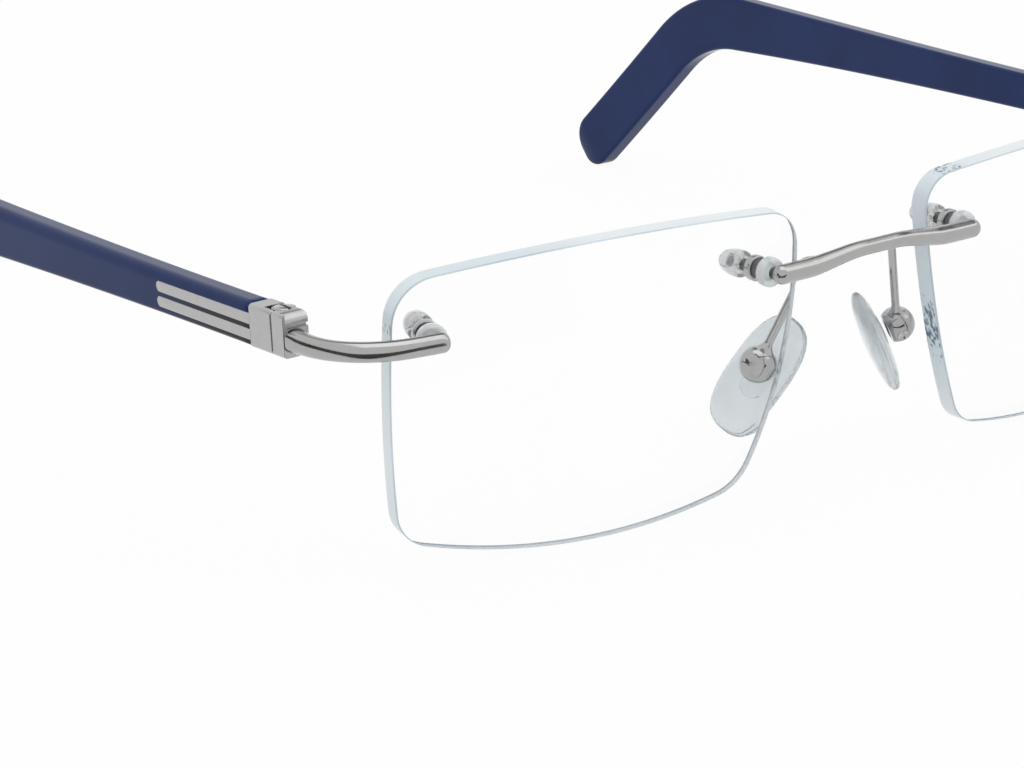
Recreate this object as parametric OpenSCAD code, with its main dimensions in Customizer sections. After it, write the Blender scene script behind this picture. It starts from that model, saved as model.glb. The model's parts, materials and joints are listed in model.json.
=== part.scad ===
// Rimless eyeglasses: two drilled lenses, a wire bridge with adjustable nose pads, two bent wire
// end pieces and two folding temples. +X is the wearer's left, the front faces -Y, +Z is up, and the
// glasses stand on the lower lens edges and the temple tips. Right-hand pieces are drawn on the -X
// side and mirrored for the left.

/* [Lenses] */
// Boxed width of one lens
lens_w = 52; // [46:0.5:56]
// Boxed height of one lens
lens_h = 36; // [31:0.5:42]
// Thickness of a lens
lens_t = 2.3; // [1.8:0.1:3]
// Distance between the two lens centres
lens_spacing = 72; // [69:0.5:78]
// Radius of the front surface of a lens
base_r = 120; // [95:1:200]
// How far the lower nasal corner is set in from the upper one
nasal_inset = 7.4; // [4:0.2:9]
// Rise of the top edge towards the nose
top_rise = 1; // [0:0.1:2]
// Fall of the bottom edge towards the nose
bottom_fall = 0.9; // [0:0.1:2]
// Outward lean of the temporal edge
temporal_lean = 0.5; // [0:0.1:1.5]
// Bulge of the top edge
crown_top = 1.8; // [1:0.1:3]
// Bulge of the bottom edge
crown_bottom = 2.8; // [1:0.1:4]
// Bulge of the nasal edge
crown_nasal = 2; // [1:0.1:3]
// Bulge of the temporal edge
crown_temporal = 1.1; // [0.5:0.1:2]
// Corner radius, top temporal
corner_tt = 5.7; // [3:0.1:8]
// Corner radius, top nasal
corner_tn = 4.4; // [3:0.1:8]
// Corner radius, bottom nasal
corner_bn = 5.8; // [2:0.1:8]
// Corner radius, bottom temporal
corner_bt = 4.9; // [3:0.1:8]

/* [Fitting angles] */
// Turn of each lens around the face, in degrees
wrap = 8; // [0:0.5:12]
// Forward lean of the lens tops, in degrees
panto = 5; // [0:0.5:10]
// Outward turn of each temple, in degrees
temple_splay = 2.8; // [0:0.2:5]

/* [Lens mounts] */
// Nasal hole, distance in from the boxed nasal edge
nasal_hole_in = 4.9; // [4.5:0.1:7]
// Nasal hole, distance below the boxed top edge
nasal_hole_drop = 7.4; // [6:0.1:10]
// Temporal hole, distance in from the boxed temporal edge
temporal_hole_in = 4.6; // [4:0.1:6]
// Temporal hole, distance below the boxed top edge
temporal_hole_drop = 8.4; // [7:0.1:11]
// Diameter of the hole through the lens
lens_hole_d = 2.2; // [2:0.1:2.8]
// Diameter of the threaded post
post_d = 1.4; // [1:0.1:1.5]
// Diameter of the bushing flange in front of the lens
bushing_d = 3.5; // [3:0.1:4.2]
// Thickness of the bushing flange
bushing_t = 1.2; // [0.8:0.1:1.6]
// Diameter of the round nut behind the lens
nut_d = 3; // [2.6:0.1:3.8]
// Thickness of the nut
nut_t = 1; // [0.7:0.1:1.4]
// Bare post between the nut and its cap
post_bare = 0.8; // [0.4:0.1:1.2]
// Diameter of the protective cap
cap_d = 3.2; // [2.6:0.1:3.8]
// Length of the protective cap
cap_l = 4.4; // [3.6:0.1:6]
// Depth of the post in its cap
cap_grip = 2.5; // [1.5:0.1:2.8]

/* [Bridge] */
// Diameter of the bridge rod over the lenses
bridge_d = 2.3; // [1.8:0.1:2.8]
// Diameter of the bridge rod at its waist
bridge_waist_d = 1.8; // [1.6:0.05:2.2]
// Height of the bridge arch
bridge_rise = 0.8; // [0.2:0.1:2]
// Straight rod from a nasal hole to the first bend
bridge_straight = 4.9; // [3.5:0.1:6]
// Length of the raised middle
bridge_flat = 7; // [5:0.2:9]
// Radius of the bridge bends
bridge_bend_r = 22; // [8:1:28]
// Straight rod past the nasal post
bridge_over = 0.1; // [0.1:0.1:1]
// Edge radius of the rod ends
rod_end_r = 0.8; // [0.3:0.1:0.85]

/* [End pieces] */
// Diameter of the end-piece wire
wire_d = 2.3; // [1.8:0.1:2.6]
// Straight wire past the temporal post
wire_over = 0.7; // [0.1:0.1:1]
// Radius of the bend round to the hinge
wire_bend_r = 9.6; // [5:0.1:9.8]
// Slant of the wire across the lens, in degrees
wire_yaw = 9; // [0:0.5:14]
// Hinge axis, distance outboard of the temporal post
hinge_out = 10.6; // [9.5:0.1:13]
// Hinge axis, distance behind the temporal post
hinge_back = 13.8; // [13.6:0.1:18]
// Hinge middle, height above the wire
hinge_lift = 0.8; // [0:0.1:1]

/* [Hinge] */
// Height of the hinge blocks
hinge_h = 5; // [4.6:0.1:6]
// Hinge axis to the outer face
hinge_outer = 2; // [1.9:0.05:2.6]
// Hinge axis to the inner face, which is also the knuckle radius
hinge_inner = 1.35; // [1.3:0.05:1.6]
// Hinge axis to the front face of the front block
block_front = 2.6; // [2.4:0.1:3.4]
// Hinge axis to the rear face of the temple block
block_back = 4.2; // [3.4:0.1:6]
// How far the parting line lies in front of the hinge axis
part_forward = 0.15; // [0:0.05:0.4]
// Height of the middle knuckle
tongue_h = 1.8; // [1.4:0.1:2.2]
// Radius of the block edges
block_edge_r = 0.45; // [0.2:0.05:0.7]
// Diameter of the hinge screw
screw_d = 1.2; // [1:0.05:1.4]
// Diameter of the hinge screw head
screw_head_d = 2; // [1.7:0.05:2.2]
// Height of the hinge screw head
screw_head_h = 0.5; // [0.4:0.05:0.8]

/* [Temples] */
// Hinge axis to the start of the ear bend
temple_reach = 95; // [88:1:110]
// Height of the temple at the hinge block
temple_h = 4.9; // [4.4:0.1:6]
// Height of the temple at the ear bend
temple_h_ear = 8.4; // [6:0.1:10]
// Height of the temple tip
tip_h = 8.6; // [6:0.1:11]
// Thickness of the temple
temple_t = 3.1; // [2.8:0.1:4]
// Radius of the upper outer edge of the temple
temple_top_r = 1.3; // [0.6:0.1:1.5]
// Radius of the other edges of the temple
temple_edge_r = 0.5; // [0.3:0.1:1]
// Radius of the ear bend
ear_r = 25; // [15:1:35]
// Drop of the temple tip, in degrees
ear_angle = 42; // [35:1:55]
// Inward curve of the temple tip
ear_in = 4; // [0:0.5:6]
// Where the inward curve starts, from the hinge axis
ear_in_from = 60; // [40:1:80]
// Length of the two metal bars on the temple
bar_l = 19.3; // [10:0.1:30]
// Height of each bar
bar_h = 1.3; // [1:0.1:1.5]
// Gap between the bars
bar_gap = 0.5; // [0.4:0.05:0.9]
// How far the pair of bars lies below the middle of the temple
bar_drop = 0.15; // [0:0.05:0.3]
// Depth of the bars in the temple
bar_t = 0.55; // [0.4:0.05:0.8]
// How far the bars stand proud of the temple
bar_proud = 0.12; // [0:0.02:0.3]
// Diameter of the core wire inside the temple
core_d = 1.3; // [0.8:0.1:1.4]
// Length of the core wire
core_l = 78; // [40:1:82]

/* [Nose pads] */
// Pad pivot, distance outboard of the pad arm root
pad_out = 4.4; // [3.4:0.1:6]
// Pad pivot, distance behind the bridge
pad_back = 9.7; // [8:0.1:12]
// Pad pivot, distance below the bridge
pad_drop = 13.3; // [11:0.1:16]
// Turn of the pads away from each other at the back, in degrees
pad_splay = 28; // [15:1:40]
// Turn of the pads away from each other at the bottom, in degrees
pad_frontal = 23; // [10:1:30]
// Forward lean of the pad tops, in degrees
pad_lean = 30; // [10:1:40]
// Length of a pad
pad_l = 15.8; // [11:0.2:17]
// Width of a pad
pad_w = 8.4; // [7:0.2:10]
// Thickness of a pad
pad_t = 2.6; // [2.2:0.1:3.2]
// How far the pad hangs below its pivot
pad_hang = 1.2; // [0:0.1:2]
// Diameter of the pad arm wire
arm_d = 1; // [0.9:0.05:1.4]
// Pad arm root, distance in from the foot of the bridge arch
arm_root_in = 2.9; // [2:0.1:4.5]
// Pad arm knee, distance behind the bridge
arm_knee_back = 5.6; // [4:0.1:6.5]
// Pad arm knee, distance below the bridge
arm_knee_drop = 1; // [0:0.1:2]
// Bend radius of the pad arm
arm_bend_r = 2.4; // [1.5:0.1:3]
// Diameter of the round pad box
box_d = 4.4; // [4:0.1:5]
// Pivot to the open face of the pad box
box_face = 1.3; // [1:0.1:1.5]
// Gap between the pad box and the pad
pad_gap = 0.55; // [0.5:0.05:0.8]
// Thickness of the lug that enters the pad box
lug_t = 1.1; // [0.8:0.1:1.3]
// Radius of the round lug end
lug_r = 1.05; // [0.9:0.05:1.1]
// Diameter of the pad screw
pad_screw_d = 0.9; // [0.7:0.05:1]
// Diameter of the pad screw head
pad_head_d = 1.5; // [1.3:0.05:1.8]
// Length of the insert plate inside the pad
insert_l = 6; // [4:0.1:7]
// Width of the insert plate
insert_w = 3; // [2:0.1:3.6]
// Thickness of the insert plate
insert_t = 0.6; // [0.4:0.05:0.8]

/* [Fits] */
// Gap between faces that seat on each other
seat_gap = 0.03; // [0.02:0.01:0.05]
// Radial clearance of a turning pin
run_fit = 0.04; // [0.03:0.01:0.08]
// Clearance beside moving hinge faces
hinge_gap = 0.1; // [0.06:0.01:0.15]
// Clearance all round the pad lug
lug_gap = 0.2; // [0.15:0.01:0.3]

/* [Hidden] */

$fn = 48;
// Facets of the large lens spheres, fine enough for a thin shell
sphere_fn = 300;
// Overshoot of a cut past the face that it opens
over = 1;
// Steps along a lens corner and along a lens edge
corner_steps = 6;
edge_steps = 12;
// Steps round each rounded edge of a temple section
temple_edge_steps = 5;
// Thinning of the temple towards its rounded tip
tip_thinning = 0.6;
// Points round a nose pad, its levels and its squareness
pad_sides = 28;
pad_levels = 12;
pad_square = 2.3;
// Shrink of the last ring that closes a rounded end
end_shrink = 0.15;
// Points round a wire, and the turn between two rings in its bends
wire_sides = 20;
bend_step = 6;

function unit(v) = v / norm(v);
function lerp(a, b, t) = a + (b - a) * t;
function turned(v, a) = [v.x * cos(a) - v.y * sin(a), v.x * sin(a) + v.y * cos(a), v.z];

// Stations of a wire: point and direction along straight legs joined by bends of one radius
function wire_line(path, bend_r) =
    let (
        last = len(path) - 1,
        dirs = [for (i = [0:last - 1]) unit(path[i + 1] - path[i])]
    )
    concat(
        [[path[0], dirs[0]]],
        [for (i = [1:last - 1]) each wire_bend(path[i], dirs[i - 1], dirs[i], bend_r)],
        [[path[last], dirs[last - 1]]]
    );
function wire_bend(p, d1, d2, r) =
    let (
        turn = acos(d1 * d2),
        out = cross(d1, unit(cross(d1, d2))),
        centre = p - d1 * r * tan(turn / 2) - out * r,
        steps = max(ceil(turn / bend_step), 3)
    )
    [
        for (k = [0:steps])
        let (a = turn * k / steps)
        [centre + (out * cos(a) + d1 * sin(a)) * r, d1 * cos(a) - out * sin(a)]
    ];
// Ring of a wire: round its station, in the plane across its direction
function wire_ring(station, normal, d) =
    let (side = cross(normal, station[1]))
    [
        for (k = [0:wire_sides - 1])
        let (a = 360 * k / wire_sides)
        station[0] + (normal * cos(a) + side * sin(a)) * d / 2
    ];
// Rings that round off a wire end, from the end face outwards along a direction
function wire_end(p, dir, travel, normal, d) =
    [
        for (a = [30:30:90])
        let (shrink = rod_end_r * (1 - cos(a)))
        wire_ring([p + dir * rod_end_r * sin(a), travel], normal, d - 2 * shrink)
    ];
function reversed(list) = [for (i = [len(list) - 1:-1:0]) list[i]];

// Lens outline: four corners joined by shallow arcs, with a tangent arc at each corner
side_x = lens_w / 2 - crown_temporal;
top_z = lens_h / 2 - crown_top;
bottom_z = -(lens_h / 2 - crown_bottom);
lens_corners = [
    [-side_x + temporal_lean / 2, bottom_z + bottom_fall / 2],
    [lens_w / 2 - nasal_inset, bottom_z - bottom_fall / 2],
    [lens_w / 2, top_z + top_rise / 2],
    [-side_x - temporal_lean / 2, top_z - top_rise / 2]
];
lens_crowns = [crown_bottom, crown_nasal, crown_top, crown_temporal];
corner_radii = [corner_bt, corner_bn, corner_tn, corner_tt];

function corner(i) = lens_corners[(i + 4) % 4];
function edge_r(i) =
    let (half = norm(corner(i + 1) - corner(i)) / 2, crown = lens_crowns[(i + 4) % 4])
    (half * half + crown * crown) / (2 * crown);
function edge_centre(i) =
    let (d = unit(corner(i + 1) - corner(i)), middle = (corner(i) + corner(i + 1)) / 2)
    middle + [-d.y, d.x] * (edge_r(i) - lens_crowns[(i + 4) % 4]);
// Centre of the corner arc: it lies inside both edge arcs by the corner radius
function corner_centre(i) =
    let (
        c1 = edge_centre(i - 1),
        c2 = edge_centre(i),
        r1 = edge_r(i - 1) - corner_radii[i],
        r2 = edge_r(i) - corner_radii[i],
        d = norm(c2 - c1),
        e = (c2 - c1) / d,
        a = (r1 * r1 - r2 * r2 + d * d) / (2 * d),
        h = sqrt(r1 * r1 - a * a),
        p = c1 + e * a + [-e.y, e.x] * h,
        q = c1 + e * a - [-e.y, e.x] * h
    )
    norm(p - corner(i)) < norm(q - corner(i)) ? p : q;
function tangent_in(i) =
    edge_centre(i - 1) + edge_r(i - 1) * unit(corner_centre(i) - edge_centre(i - 1));
function tangent_out(i) = edge_centre(i) + edge_r(i) * unit(corner_centre(i) - edge_centre(i));
function arc(c, p, q, steps) =
    let (
        r = norm(p - c),
        a = atan2(p.y - c.y, p.x - c.x),
        b = atan2(q.y - c.y, q.x - c.x),
        sweep = (b - a + 720) % 360
    )
    [for (k = [0:steps - 1]) c + r * [cos(a + sweep * k / steps), sin(a + sweep * k / steps)]];
lens_outline = [
    for (i = [0:3]) each concat(
        arc(corner_centre(i), tangent_in(i), tangent_out(i), corner_steps),
        arc(edge_centre(i), tangent_out(i), tangent_in((i + 1) % 4), edge_steps)
    )
];

// A lens is a spherical shell: depth of a shell of radius r at the point (u, v) of the lens
function shell_y(p, r) = base_r - sqrt(r * r - p.x * p.x - p.y * p.y);
lens_depth = max([for (p = lens_outline) shell_y(p, base_r - lens_t)]) + over;
// From lens axes to the standing frame, with the right lens turned by the wrap and then leaned
function to_front(p) =
    let (
        x = p.x * cos(wrap) + p.y * sin(wrap) - lens_spacing / 2,
        y = p.y * cos(wrap) - p.x * sin(wrap)
    )
    [x, y * cos(panto) - p.z * sin(panto), y * sin(panto) + p.z * cos(panto)];
// Point at (u, v) of the right lens, a distance off in front of its surface along the normal
function on_lens(uv, off) =
    let (k = (base_r + off) / base_r)
    to_front([uv.x * k, base_r - k * sqrt(base_r * base_r - uv.x * uv.x - uv.y * uv.y), uv.y * k]);
lens_low = min([
    for (p = lens_outline) for (r = [base_r, base_r - lens_t]) to_front([p.x, shell_y(p, r), p.y]).z
]);

// Lens mounts: hole places and the stack along the post, measured from the lens front
nasal_uv = [lens_w / 2 - nasal_hole_in, lens_h / 2 - nasal_hole_drop];
temporal_uv = [temporal_hole_in - lens_w / 2, lens_h / 2 - temporal_hole_drop];
bridge_off = bushing_t + 2 * seat_gap + bridge_d / 2;
wire_off = bushing_t + 2 * seat_gap + wire_d / 2;
nut_at = lens_t + seat_gap;
cap_at = nut_at + nut_t + post_bare;
post_end = cap_at + cap_grip;

// Bridge: straight ends over the lenses and a low arch between them
bridge_at = on_lens(nasal_uv, bridge_off);
bridge_end_x = -bridge_at.x + bridge_over;
bridge_foot_x = -bridge_at.x - bridge_straight;
bridge_half = [[bridge_end_x, 0], [bridge_foot_x, 0], [bridge_flat / 2, bridge_rise]];
bridge_path = concat(
    [for (p = bridge_half) [-p.x, bridge_at.y, bridge_at.z + p.y]],
    [for (i = [2:-1:0]) [bridge_half[i].x, bridge_at.y, bridge_at.z + bridge_half[i].y]]
);
function bridge_rings(grow) =
    let (
        up = [0, 0, 1],
        tip_r = bridge_d + 2 * grow,
        first = wire_end(bridge_path[0], [-1, 0, 0], [1, 0, 0], up, tip_r),
        body = [
            for (s = wire_line(bridge_path, bridge_bend_r))
            let (
                t = min(abs(s[0].x) / bridge_foot_x, 1),
                normal = cross(s[1], [0, 1, 0])
            )
            wire_ring(s, normal, lerp(bridge_waist_d, bridge_d, t * t) + 2 * grow)
        ]
    )
    concat(reversed(first), body, wire_end(bridge_path[5], [1, 0, 0], [1, 0, 0], up, tip_r));
arm_root = bridge_foot_x - arm_root_in;
arm_root_rise = bridge_rise * arm_root_in / (bridge_foot_x - bridge_flat / 2);

// End piece: the wire runs level from the temporal post to the front block of the hinge
wire_at = on_lens(temporal_uv, wire_off);
hinge_at = wire_at + [-hinge_out, hinge_back, hinge_lift];
wire_dir = [-cos(wire_yaw), sin(wire_yaw), 0];
wire_tip = wire_at - wire_dir * wire_over;
wire_root_x = (hinge_inner - hinge_outer) / 2;
web_t = block_front - hinge_inner - hinge_gap;
wire_root = hinge_at + turned([wire_root_x, web_t / 2 - block_front, -hinge_lift], temple_splay);
hinge_dir = turned([0, 1, 0], temple_splay);
wire_run = ((wire_root.x - wire_at.x) * hinge_dir.y - (wire_root.y - wire_at.y) * hinge_dir.x)
    / (wire_dir.x * hinge_dir.y - wire_dir.y * hinge_dir.x);
wire_path = [wire_tip, wire_at + wire_dir * wire_run, wire_root];
wire_rings = concat(
    reversed(wire_end(wire_tip, -wire_dir, wire_dir, [0, 0, 1], wire_d)),
    [for (s = wire_line(wire_path, wire_bend_r)) wire_ring(s, [0, 0, 1], wire_d)]
);

// Hinge: the temple block keeps clear of the knuckles by a square recess
slot_h = tongue_h + 2 * hinge_gap;
recess = hinge_inner + hinge_gap;
// Room behind the knuckles for the inner edge of the temple block as it folds past the front block
fold_gap = 0.25;
// Turn of the screw slots as tightened
slot_turn = 40;

// Temple: centre line in the hinge frame, level to the ear bend and then down to the floor
temple_start = block_back + seat_gap;
bar_levels = [for (side = [-1, 1]) side * (bar_gap + bar_h) / 2 - bar_drop];
temple_x = temple_t / 2 - hinge_outer + bar_proud / 2;
hinge_height = hinge_at.z - lens_low;
ear_arc = ear_r * ear_angle * PI / 180;
ear_drop = ear_r * (1 - cos(ear_angle));
tip_len = (hinge_height - tip_h / 2 - ear_drop) / sin(ear_angle);
tip_end = temple_reach + ear_arc + tip_len;
function temple_turn(s) = min(max((s - temple_reach) / ear_r * 180 / PI, 0), ear_angle);
function temple_line(s) =
    let (a = temple_turn(s), rest = max(s - temple_reach - ear_arc, 0))
    [
        min(s, temple_reach) + ear_r * sin(a) + rest * cos(ear_angle),
        ear_r * (cos(a) - 1) - rest * sin(ear_angle)
    ];
function temple_inward(s) = ear_in * pow(max(s - ear_in_from, 0) / (tip_end - ear_in_from), 2);
function temple_half_h(s) =
    s < temple_reach
    ? lerp(temple_h, temple_h_ear, pow((s - temple_start) / (temple_reach - temple_start), 2)) / 2
    : lerp(temple_h_ear, tip_h, min((s - temple_reach) / (tip_end - temple_reach), 1)) / 2;
// Each station is a place along the centre line and a scale that closes the round tip
temple_stations = concat(
    [for (k = [0:8]) [lerp(temple_start, temple_reach, k / 8), 1]],
    [for (k = [1:8]) [temple_reach + ear_arc * k / 8, 1]],
    [for (k = [1:4]) [temple_reach + ear_arc + tip_len * k / 4, 1]],
    [for (a = [18:18:72]) [tip_end + tip_h / 2 * sin(a), cos(a)]],
    [[tip_end + tip_h / 2, end_shrink]]
);
function rounded(a, b, angle, square) =
    [
        a * sign(cos(angle)) * pow(abs(cos(angle)), 2 / square),
        b * sign(sin(angle)) * pow(abs(sin(angle)), 2 / square)
    ];
// Section with four rounded edges, from the inner face round the bottom, the outer face and the top
function temple_section(a, b) =
    [
        for (i = [0:3])
        let (
            r = min(i == 2 ? temple_top_r : temple_edge_r, a, b),
            side = [[1, -1], [-1, -1], [-1, 1], [1, 1]][i]
        )
        each [
            for (k = [0:temple_edge_steps])
            let (angle = -90 * (i + k / temple_edge_steps))
            [side.x * (a - r) + r * cos(angle), side.y * (b - r) + r * sin(angle)]
        ]
    ];
function temple_ring(station) =
    let (
        s = station[0],
        c = temple_line(s),
        turn = temple_turn(s),
        half_t = temple_t / 2 * lerp(1, station[1], tip_thinning)
    )
    [
        for (p = temple_section(half_t, temple_half_h(s) * station[1]))
        [temple_x + temple_inward(s) + p.x, c.x + p.y * sin(turn), c.y + p.y * cos(turn)]
    ];

// Nose pad: pivot place, and rings from the box side to the nose side
pad_at = [-arm_root - pad_out, bridge_at.y + pad_back, bridge_at.z - pad_drop];
arm_path = [
    [-arm_root, bridge_at.y, bridge_at.z + arm_root_rise],
    [-arm_root, bridge_at.y + arm_knee_back, bridge_at.z - arm_knee_drop],
    pad_at
];
arm_normal = unit(cross(arm_path[1] - arm_path[0], arm_path[2] - arm_path[1]));
arm_rings = [for (s = wire_line(arm_path, arm_bend_r)) wire_ring(s, arm_normal, arm_d)];
pad_floor = box_face + pad_gap;
insert_at = pad_floor + insert_t;
// Pad screw head: it sits level with the round box where the box is as wide as the head
pad_head_h = 0.45;
pad_head_at = sqrt(pow(box_d / 2, 2) - pow(pad_head_d / 2, 2));
function pad_ring(level) =
    let (
        a = lerp(-90, 90, level / pad_levels),
        edge = rounded(1, pad_t / 2, a, pad_square),
        size = max(edge.x, end_shrink)
    )
    [
        for (k = [0:pad_sides - 1])
        let (p = rounded(pad_w / 2, pad_l / 2, 360 * k / pad_sides, pad_square) * size)
        [pad_floor + pad_t / 2 + edge.y, p.x, p.y - pad_hang]
    ];

// The glasses stand on the origin plane, centred over their footprint
front_y = bridge_at.y - bridge_d / 2;
rear_y = hinge_at.y + (temple_line(tip_end).x + tip_h / 2) * cos(temple_splay);
stand_shift = [0, -(front_y + rear_y) / 2, -lens_low];

module right_side() { translate(stand_shift) children(); }
module left_side() { translate(stand_shift) mirror([1, 0, 0]) children(); }
module lens_frame() {
    rotate([panto, 0, 0])
        translate([-lens_spacing / 2, 0, 0])
            rotate([0, 0, -wrap])
                children();
}
// Local +Z leaves the lens front along its normal at (u, v), with the origin on the surface
module at_hole(uv) {
    tilt = asin(uv.y / base_r);
    swing = asin(uv.x / (base_r * cos(tilt)));
    lens_frame()
        translate([0, base_r, 0])
            rotate([-tilt, 0, swing])
                translate([0, -base_r, 0])
                    rotate([90, 0, 0])
                        children();
}
module hinge_frame() { translate(hinge_at) rotate([0, 0, temple_splay]) children(); }
// Local +X points to the nose, +Y along the pad screw and +Z up the pad
module pad_frame() { translate(pad_at) rotate([pad_lean, pad_frontal, pad_splay]) children(); }

// Closed skin over rings of equal length
module skin(rings) {
    n = len(rings[0]);
    last = (len(rings) - 1) * n;
    sides = [
        for (i = [0:len(rings) - 2]) for (j = [0:n - 1])
        let (a = i * n + j, b = i * n + (j + 1) % n)
        each [[a, b, b + n], [a, b + n, a + n]]
    ];
    front = [for (j = [1:n - 2]) [0, j + 1, j]];
    back = [for (j = [1:n - 2]) [last, last + j, last + j + 1]];
    polyhedron([for (r = rings) each r], concat(sides, front, back));
}
module rounded_rect(size, r) {
    translate([r, 0]) square([size.x - 2 * r, size.y]);
    translate([0, r]) square([size.x, size.y - 2 * r]);
    for (x = [r, size.x - r]) for (y = [r, size.y - r]) translate([x, y]) circle(r = r);
}
// Block of the hinge height between two places along Y, with its front view and side view rounded
module hinge_block(y0, y1) {
    w = hinge_outer + hinge_inner;
    l = y1 - y0;
    intersection() {
        translate([-hinge_outer, y1, -hinge_h / 2])
            rotate([90, 0, 0])
                linear_extrude(l)
                    rounded_rect([w, hinge_h], block_edge_r);
        translate([-hinge_outer, y0, -hinge_h / 2])
            rotate([90, 0, 90])
                linear_extrude(w)
                    rounded_rect([l, hinge_h], block_edge_r / 2);
    }
}

module lens() {
    color([0.86, 0.93, 0.96, 0.35])
        difference() {
            lens_frame()
                intersection() {
                    translate([0, lens_depth, 0])
                        rotate([90, 0, 0])
                            linear_extrude(lens_depth + over)
                                polygon(lens_outline);
                    translate([0, base_r, 0])
                        difference() {
                            sphere(r = base_r, $fn = sphere_fn);
                            sphere(r = base_r - lens_t, $fn = sphere_fn);
                        }
                }
            for (uv = [nasal_uv, temporal_uv])
                at_hole(uv)
                    cylinder(d = lens_hole_d, h = 4 * lens_t, center = true);
        }
}
// Threaded post that is brazed to a rod and passes through the lens
module post(rod_off) {
    translate([0, 0, -post_end])
        cylinder(d = post_d, h = post_end + rod_off);
}
module bushing() {
    color([0.93, 0.96, 0.97, 0.5])
        difference() {
            union() {
                translate([0, 0, seat_gap])
                    cylinder(d = bushing_d, h = bushing_t);
                translate([0, 0, -lens_t])
                    cylinder(d = lens_hole_d - 2 * seat_gap, h = lens_t + bushing_t);
            }
            translate([0, 0, -lens_t - over])
                cylinder(d = post_d + 2 * seat_gap, h = lens_t + bushing_t + 2 * over);
        }
}
module nut() {
    color("silver")
        translate([0, 0, -nut_at - nut_t])
            difference() {
                cylinder(d = nut_d, h = nut_t);
                translate([0, 0, -over])
                    cylinder(d = post_d + 2 * seat_gap, h = nut_t + 2 * over);
            }
}
// Bullet-shaped cap: a straight skirt and a half-round nose, bored for the post
module post_cap() {
    skirt = cap_l - cap_d / 2;
    color([0.93, 0.96, 0.97, 0.5])
        translate([0, 0, -cap_at])
            rotate([180, 0, 0])
                difference() {
                    rotate_extrude() {
                        square([cap_d / 2, skirt]);
                        translate([0, skirt])
                            intersection() {
                                circle(d = cap_d);
                                square(cap_d);
                            }
                    }
                    translate([0, 0, -over])
                        cylinder(d = post_d + 2 * seat_gap, h = cap_grip + seat_gap + over);
                }
}
module bridge() {
    color("silver") {
        skin(bridge_rings(0));
        for (side = [0, 1])
            mirror([side, 0, 0])
                at_hole(nasal_uv) post(bridge_off);
    }
}
// Front hinge block: two outer knuckles round the screw, with a slot for the middle one
module front_block() {
    difference() {
        union() {
            hinge_block(-block_front, -part_forward - hinge_gap);
            cylinder(r = hinge_inner, h = hinge_h, center = true);
        }
        translate([-recess, -recess, -slot_h / 2])
            cube([2 * recess + over, block_front + 2 * recess, slot_h]);
        cylinder(d = screw_d + 2 * seat_gap, h = hinge_h + over, center = true);
        translate([0, 0, hinge_h / 2 - screw_head_h - seat_gap])
            cylinder(d = screw_head_d + 2 * seat_gap, h = screw_head_h + over);
    }
}
module end_piece() {
    color("silver") {
        skin(wire_rings);
        at_hole(temporal_uv) post(wire_off);
        hinge_frame() front_block();
    }
}
module slotted_screw(d, l, head_d, head_h) {
    difference() {
        union() {
            translate([0, 0, -l]) cylinder(d = d, h = l);
            translate([0, 0, -head_h]) cylinder(d = head_d, h = head_h);
        }
        cube([head_d / 6, 2 * head_d, head_h], center = true);
    }
}
module hinge_screw() {
    color("gainsboro")
        hinge_frame()
            translate([0, 0, hinge_h / 2])
                rotate([0, 0, slot_turn])
                    slotted_screw(screw_d, hinge_h, screw_head_d, screw_head_h);
}
// Stadium-ended bar on the outer face, from the temple block backwards
module bar(z, grow) {
    y0 = block_back - over;
    y1 = block_back + bar_l - bar_h / 2;
    x0 = temple_x - temple_t / 2 - bar_proud;
    translate([x0 - grow, 0, z])
        rotate([90, 0, 90])
            linear_extrude(bar_t + bar_proud + 2 * grow) {
                translate([y0, -bar_h / 2 - grow]) square([y1 - y0, bar_h + 2 * grow]);
                translate([y1, 0]) circle(d = bar_h + 2 * grow);
            }
}
// Metal end of the temple: a block with the middle knuckle and two bars that lie in the temple
module temple_hinge() {
    color("silver")
        hinge_frame()
            difference() {
                union() {
                    difference() {
                        hinge_block(-part_forward, block_back);
                        translate([-recess, -over, -hinge_h])
                            cube([2 * recess + over, recess + fold_gap + over, 2 * hinge_h]);
                    }
                    cylinder(r = hinge_inner, h = tongue_h, center = true);
                    translate([-hinge_inner, 0, -tongue_h / 2])
                        cube([2 * hinge_inner, recess + fold_gap + over, tongue_h]);
                    for (z = bar_levels) bar(z, 0);
                }
                cylinder(d = screw_d + 2 * run_fit, h = hinge_h, center = true);
            }
}
module core_bore(d, l) {
    translate([temple_x, temple_start, 0])
        rotate([-90, 0, 0])
            cylinder(d = d, h = l);
}
module temple() {
    color([0.13, 0.18, 0.38])
        hinge_frame()
            difference() {
                skin([for (s = temple_stations) temple_ring(s)]);
                for (z = bar_levels) bar(z, seat_gap);
                translate([0, -over, 0]) core_bore(core_d + 2 * seat_gap, core_l + over + seat_gap);
            }
}
module core_wire() { color("gray") hinge_frame() core_bore(core_d, core_l); }
module pad_screw_bore(d) { rotate([90, 0, 0]) cylinder(d = d, h = box_d + over, center = true); }
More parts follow.
